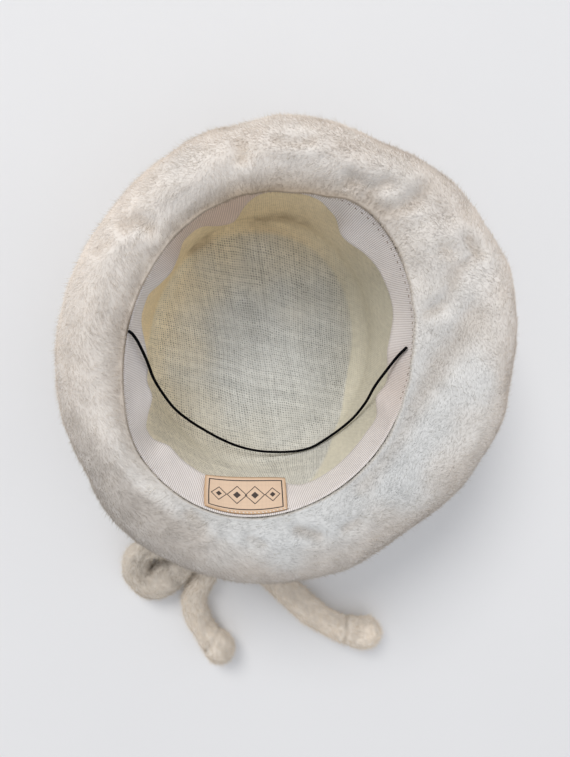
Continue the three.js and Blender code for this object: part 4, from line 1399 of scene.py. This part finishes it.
stitchRows = [
    {"name": "edge_stitches", "from": -14, "to": 70, "z": 96.5, "inset": 1.25, "pitch": 3.6,
     "length": 1.5, "thickness": 0.45, "slant": 0.3, "colour": (0.200, 0.130, 0.085, 1)},
    {"name": "label_stitches", "from": 257, "to": 279.5, "z": 98.1, "inset": 2.5, "pitch": 1.9,
     "length": 2.2, "thickness": 0.55, "slant": 1.2, "colour": (0.850, 0.830, 0.800, 1)},
]
stitchLengths = (0.75, 1.2)     # shortest and longest, as shares of a row's stitch length


def makeStitchTree():
    tree, given, out = newGroup("sew", "GeometryNodeTree", {
        "Row": ("NodeSocketGeometry", None),
        "Length": ("NodeSocketFloat", 0.002),
        "Thickness": ("NodeSocketFloat", 0.0005),
        "Seed": ("NodeSocketInt", 0),
        "Finish": ("NodeSocketMaterial", None),
    }, {"Stitches": "NodeSocketGeometry"})
    ask = given.outputs
    places = newNode(tree, "GeometryNodeMeshToPoints", Mesh=ask["Row"])
    turned = newNode(tree, "FunctionNodeAlignRotationToVector", {"axis": "X"},
                     Vector=storedValue(tree, "lay", "FLOAT_VECTOR"))
    uneven = randomValue(tree, "FLOAT", *stitchLengths, ask["Seed"])
    length = maths(tree, "MULTIPLY", ask["Length"], uneven)
    size = newNode(tree, "ShaderNodeCombineXYZ", X=length, Y=ask["Thickness"], Z=ask["Thickness"])
    thread = newNode(tree, "GeometryNodeMeshUVSphere", Segments=10, Rings=8, Radius=0.5)
    sewn = newNode(tree, "GeometryNodeInstanceOnPoints", Points=places.outputs[0],
                   Instance=thread.outputs[0], Rotation=turned.outputs[0], Scale=size.outputs[0])
    real = newNode(tree, "GeometryNodeRealizeInstances", Geometry=sewn.outputs[0])
    done = newNode(tree, "GeometryNodeSetMaterial", Geometry=real.outputs[0], Material=ask["Finish"])
    tree.links.new(done.outputs[0], out.inputs["Stitches"])
    return tree


def makeStitches(tree, row):
    reach = opening["short"] * math.radians(row["to"] - row["from"])
    angle = np.radians(np.linspace(row["from"], row["to"], round(reach / row["pitch"])))
    points = bandFace(angle, row["z"] + 0 * angle, row["inset"])
    forward = tangentsOf(points)
    mesh = newMesh(row["name"], points)
    addAttribute(mesh, "lay", "FLOAT_VECTOR", forward + [0, 0, row["slant"]])
    line = addObject(row["name"] + "_row", mesh)
    thread = newMaterial(row["name"], Base_Color=row["colour"], Roughness=0.7)[0]
    piece = runNodes(line, tree, row["name"], {
        "Length": row["length"] * mm, "Thickness": row["thickness"] * mm, "Seed": 7, "Finish": thread})
    bpy.data.objects.remove(line)
    piece.data.shade_smooth()
    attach(piece, "root")


stitchTree = makeStitchTree()
for row in stitchRows:
    makeStitches(stitchTree, row)
print("stitches made")


# bow

bow = {
    "sides": 48,
    "knotAngle": 261.5,
    "knotStation": 0.7,
    "knotRadius": 13,
    "knotGap": 0.4,
    "knotRows": 26,
    "pileDepth": 0.8,
    "girth": 60,            # length round a roll that its combing is laid out on
    "lumps": [(9, 0.9), (4, 0.6)],      # size and height of the uneven pile
    "knotLumps": [(9, 0.5), (4, 0.3)],
    "swirls": [(8, 0.8)],
    "patches": [(10, 0.08), (3.5, 0.12)],
    # painted shade in the pressed lines
    "lineShade": 0.16,     # how much a millimetre of crease darkens
    "bareTurned": -0.3,     # no pile where a roll faces further down than this
    "bareBelow": 8,         # and is lower than this
    # place, half width in plan and half thickness of each section
    "loop": [
        (-36.3, -143.7, 38, 6.5, 6.5), (-50, -143.5, 33, 8, 8.5), (-64, -144, 28, 8.5, 9),
        (-76, -149.5, 22.5, 8.6, 8.8), (-83.2, -161, 16, 10, 9.6), (-81, -174.5, 11, 11.5, 10),
        (-70.5, -180.5, 10.8, 13.2, 10.4), (-58, -170.5, 13.5, 13.4, 9.8), (-48, -159.5, 19, 10.5, 9),
        (-34.2, -150.2, 25.5, 5.5, 5.5),
    ],
    "tailLeft": [
        (-23.7, -152.3, 18.1, 6.5, 6.5), (-28, -164, 12, 8.6, 8.6), (-35, -178, 9.8, 9.3, 9.4),
        (-40.5, -192, 10, 9.8, 9.8), (-37.5, -207, 10, 9.6, 9.6), (-31, -218.5, 10.4, 9.4, 9.6),
        (-25, -225, 11.8, 11, 11.4), (-19.5, -231.5, 12.2, 11.6, 11.8), (-16.5, -238, 12, 9.4, 9.4),
        (-15.2, -241.5, 11.6, 4.5, 4.5),
    ],
    "tailRight": [
        (-9.5, -150.8, 23.2, 6.5, 6.5), (5, -162.5, 13, 9, 9), (21, -177, 10.4, 10.2, 10.2),
        (36.5, -191.5, 10.6, 10.5, 10.4), (52.5, -204.5, 10.6, 10.5, 10.4), (67, -213.2, 10.4, 9.8, 10),
        (77, -216.6, 11.4, 11.2, 11.4), (86, -218, 12.2, 12, 12.1), (94, -218.3, 12.4, 12, 12.2),
        (101, -218.5, 12.2, 10, 10.2), (104.5, -218.5, 12, 4.8, 5),
    ],
}

# Lines pressed into the rolled felt. A wrap goes round it: share of its length, slant, width, depth.
# A twist runs along it: place round it in turns, turns from end to end, width in turns, depth.
bowLines = {
    "bow_fold": {
        "wraps": [(0.80, -0.03, 0.020, 0.7)],
        "twists": [(0.20, 0.30, 0.045, 1.1), (0.33, 0.22, 0.04, 0.8), (0.08, 0.35, 0.04, 0.7)],
    },
    "bow_tail_left": {
        "wraps": [(0.66, 0.03, 0.018, 0.8), (0.88, -0.06, 0.025, 0.7)],
        "twists": [],
    },
    "bow_tail_right": {
        "wraps": [(0.60, 0.015, 0.018, 1.0), (0.68, -0.03, 0.03, 0.4), (0.90, 0.03, 0.02, 0.5)],
        "twists": [(0.22, 0.25, 0.04, 0.4)],
    },
}

bowNap = [
    {"name": "_nap_short", "perSquareMm": 0.8, "length": 2.4, "thickness": 0.24, "lift": 0.45,
     "mess": 0.8, "softness": 1.0},
    {"name": "_nap_long", "perSquareMm": 0.95, "length": 4.6, "thickness": 0.14, "lift": 0.90,
     "mess": 0.9, "softness": 1.5, "finish": "bowStray"},
]


def lineDepth(lines, share, turn):
    depth = 0 * (share + turn)
    for place, slant, width, deep in lines["wraps"]:
        away = share - place - slant * np.cos(turn * fullTurn)
        depth = depth + deep * np.exp(-((away / width) ** 2))
    for place, turns, width, deep in lines["twists"]:
        away = (turn - place - turns * share + 0.5) % 1 - 0.5
        depth = depth + deep * np.exp(-((away / width) ** 2))
    return depth


def makeRouleau(name, node, rows, rings, tone, seed):
    sections = smoothPath(rows, rings)
    path, wide, thick = sections[:, :3], sections[:, 3], sections[:, 4]
    forward, side, rise = framesAlong(path)
    turn = roundAngles(bow["sides"])
    fromPath = (np.cos(turn)[None, :, None] * side[:, None] * wide[:, None, None]
                + np.sin(turn)[None, :, None] * rise[:, None] * thick[:, None, None])
    out = fromPath / np.linalg.norm(fromPath, axis=-1, keepdims=True)
    surface = path[:, None] + fromPath
    lump = lumpsAt(surface, bow["lumps"], seed)
    lines = lineDepth(bowLines[name], np.linspace(0, 1, rings)[:, None], turn[None, :] / fullTurn)
    surface = surface + out * (lump - bow["pileDepth"] - lines)[..., None]
    first = path[0] - forward[0] * thick[0] * endBulge
    last = path[-1] + forward[-1] * thick[-1] * endBulge
    piece = ringMesh(name, [first, *surface, last], bowFelt,
                     uvSize={"round": bow["girth"], "byCentre": True})

    def withEnds(values):
        return np.concatenate([values[:1], values, values[-1:]])

    count = len(piece.data.vertices)
    points, away = surface.reshape(-1, 3), out.reshape(-1, 3)
    onward = np.repeat(forward, bow["sides"], axis=0)
    lay = onward + lumpsAt(points, bow["swirls"], seed + 2)[:, None] * np.cross(onward, away)
    cover = np.where((away[:, 2] < bow["bareTurned"]) & (points[:, 2] < bow["bareBelow"]), 0.0, 1.0)
    # painted shade in the pressed lines
    tone = tone * (1 - bow["lineShade"] * np.clip(withEnds(lines.ravel()), 0, 1.5))
    patches = [share * noiseAt(withEnds(points), size, seed) for size, share in bow["patches"]]
    patchy = tone * (1 + sum(patches))
    tint = np.tile([*feltFinish["bow"], 1], (count, 1)) * patchy[:, None]
    addAttribute(piece.data, "cover", "FLOAT", withEnds(cover))
    addAttribute(piece.data, "pile", "FLOAT", np.ones(count))
    addAttribute(piece.data, "lay", "FLOAT_VECTOR", withEnds(lay))
    addAttribute(piece.data, "tint", "FLOAT_COLOR", tint)
    layers = [{**layer, "name": name + layer["name"], "slot": "bow_felt"} for layer in bowNap]
    growNap(piece, layers, 10 * seed)
    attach(piece, "root")
    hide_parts(node)


bowFelt = feltMaterial("bow_felt")
makeRouleau("bow_fold", "bow_loop", bow["loop"], 120, 0.92, 31)
makeRouleau("bow_tail_left", "tail_left", bow["tailLeft"], 110, 1.02, 41)
makeRouleau("bow_tail_right", "tail_right", bow["tailRight"], 130, 1.15, 51)


# The knot that the loop and tails are drawn through, against the underside of the roll.
def makeKnot():
    angle = math.radians(bow["knotAngle"])
    seat = feltProfile(angle, bow["knotStation"])
    away = surfaceNormal(feltProfile, angle, bow["knotStation"])
    centre = seat + away * (bow["knotRadius"] + bow["knotGap"])
    radius = bow["knotRadius"] - bow["pileDepth"]
    rows = np.linspace(0, math.pi, bow["knotRows"])[1:-1]
    swing, turn = np.meshgrid(rows, roundAngles(bow["sides"]), indexing="ij")
    out = polar(np.sin(swing), turn, -np.cos(swing))
    surface = centre + out * radius
    surface = surface + out * lumpsAt(surface, bow["knotLumps"], 61)[..., None]
    rings = [centre - [0, 0, radius], *surface, centre + [0, 0, radius]]
    piece = ringMesh("bow_centre", rings, bowFelt, uvSize={"round": bow["girth"], "byCentre": False})
    count = len(piece.data.vertices)
    around = polar(np.ones_like(turn), turn + math.pi / 2, 0 * turn).reshape(-1, 3)
    sideways = np.array([[1.0, 0.0, 0.0]])
    addAttribute(piece.data, "cover", "FLOAT", np.ones(count))
    addAttribute(piece.data, "pile", "FLOAT", np.full(count, 0.8))
    addAttribute(piece.data, "lay", "FLOAT_VECTOR", np.concatenate([sideways, around, sideways]))
    addAttribute(piece.data, "tint", "FLOAT_COLOR", np.tile([*feltFinish["bow"], 1], (count, 1)))
    growNap(piece, [{**bowNap[0], "name": "bow_centre_nap", "slot": "bow_felt"}], 600)
    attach(piece, "root")
    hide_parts("bow_knot")


makeKnot()
print("bow made")
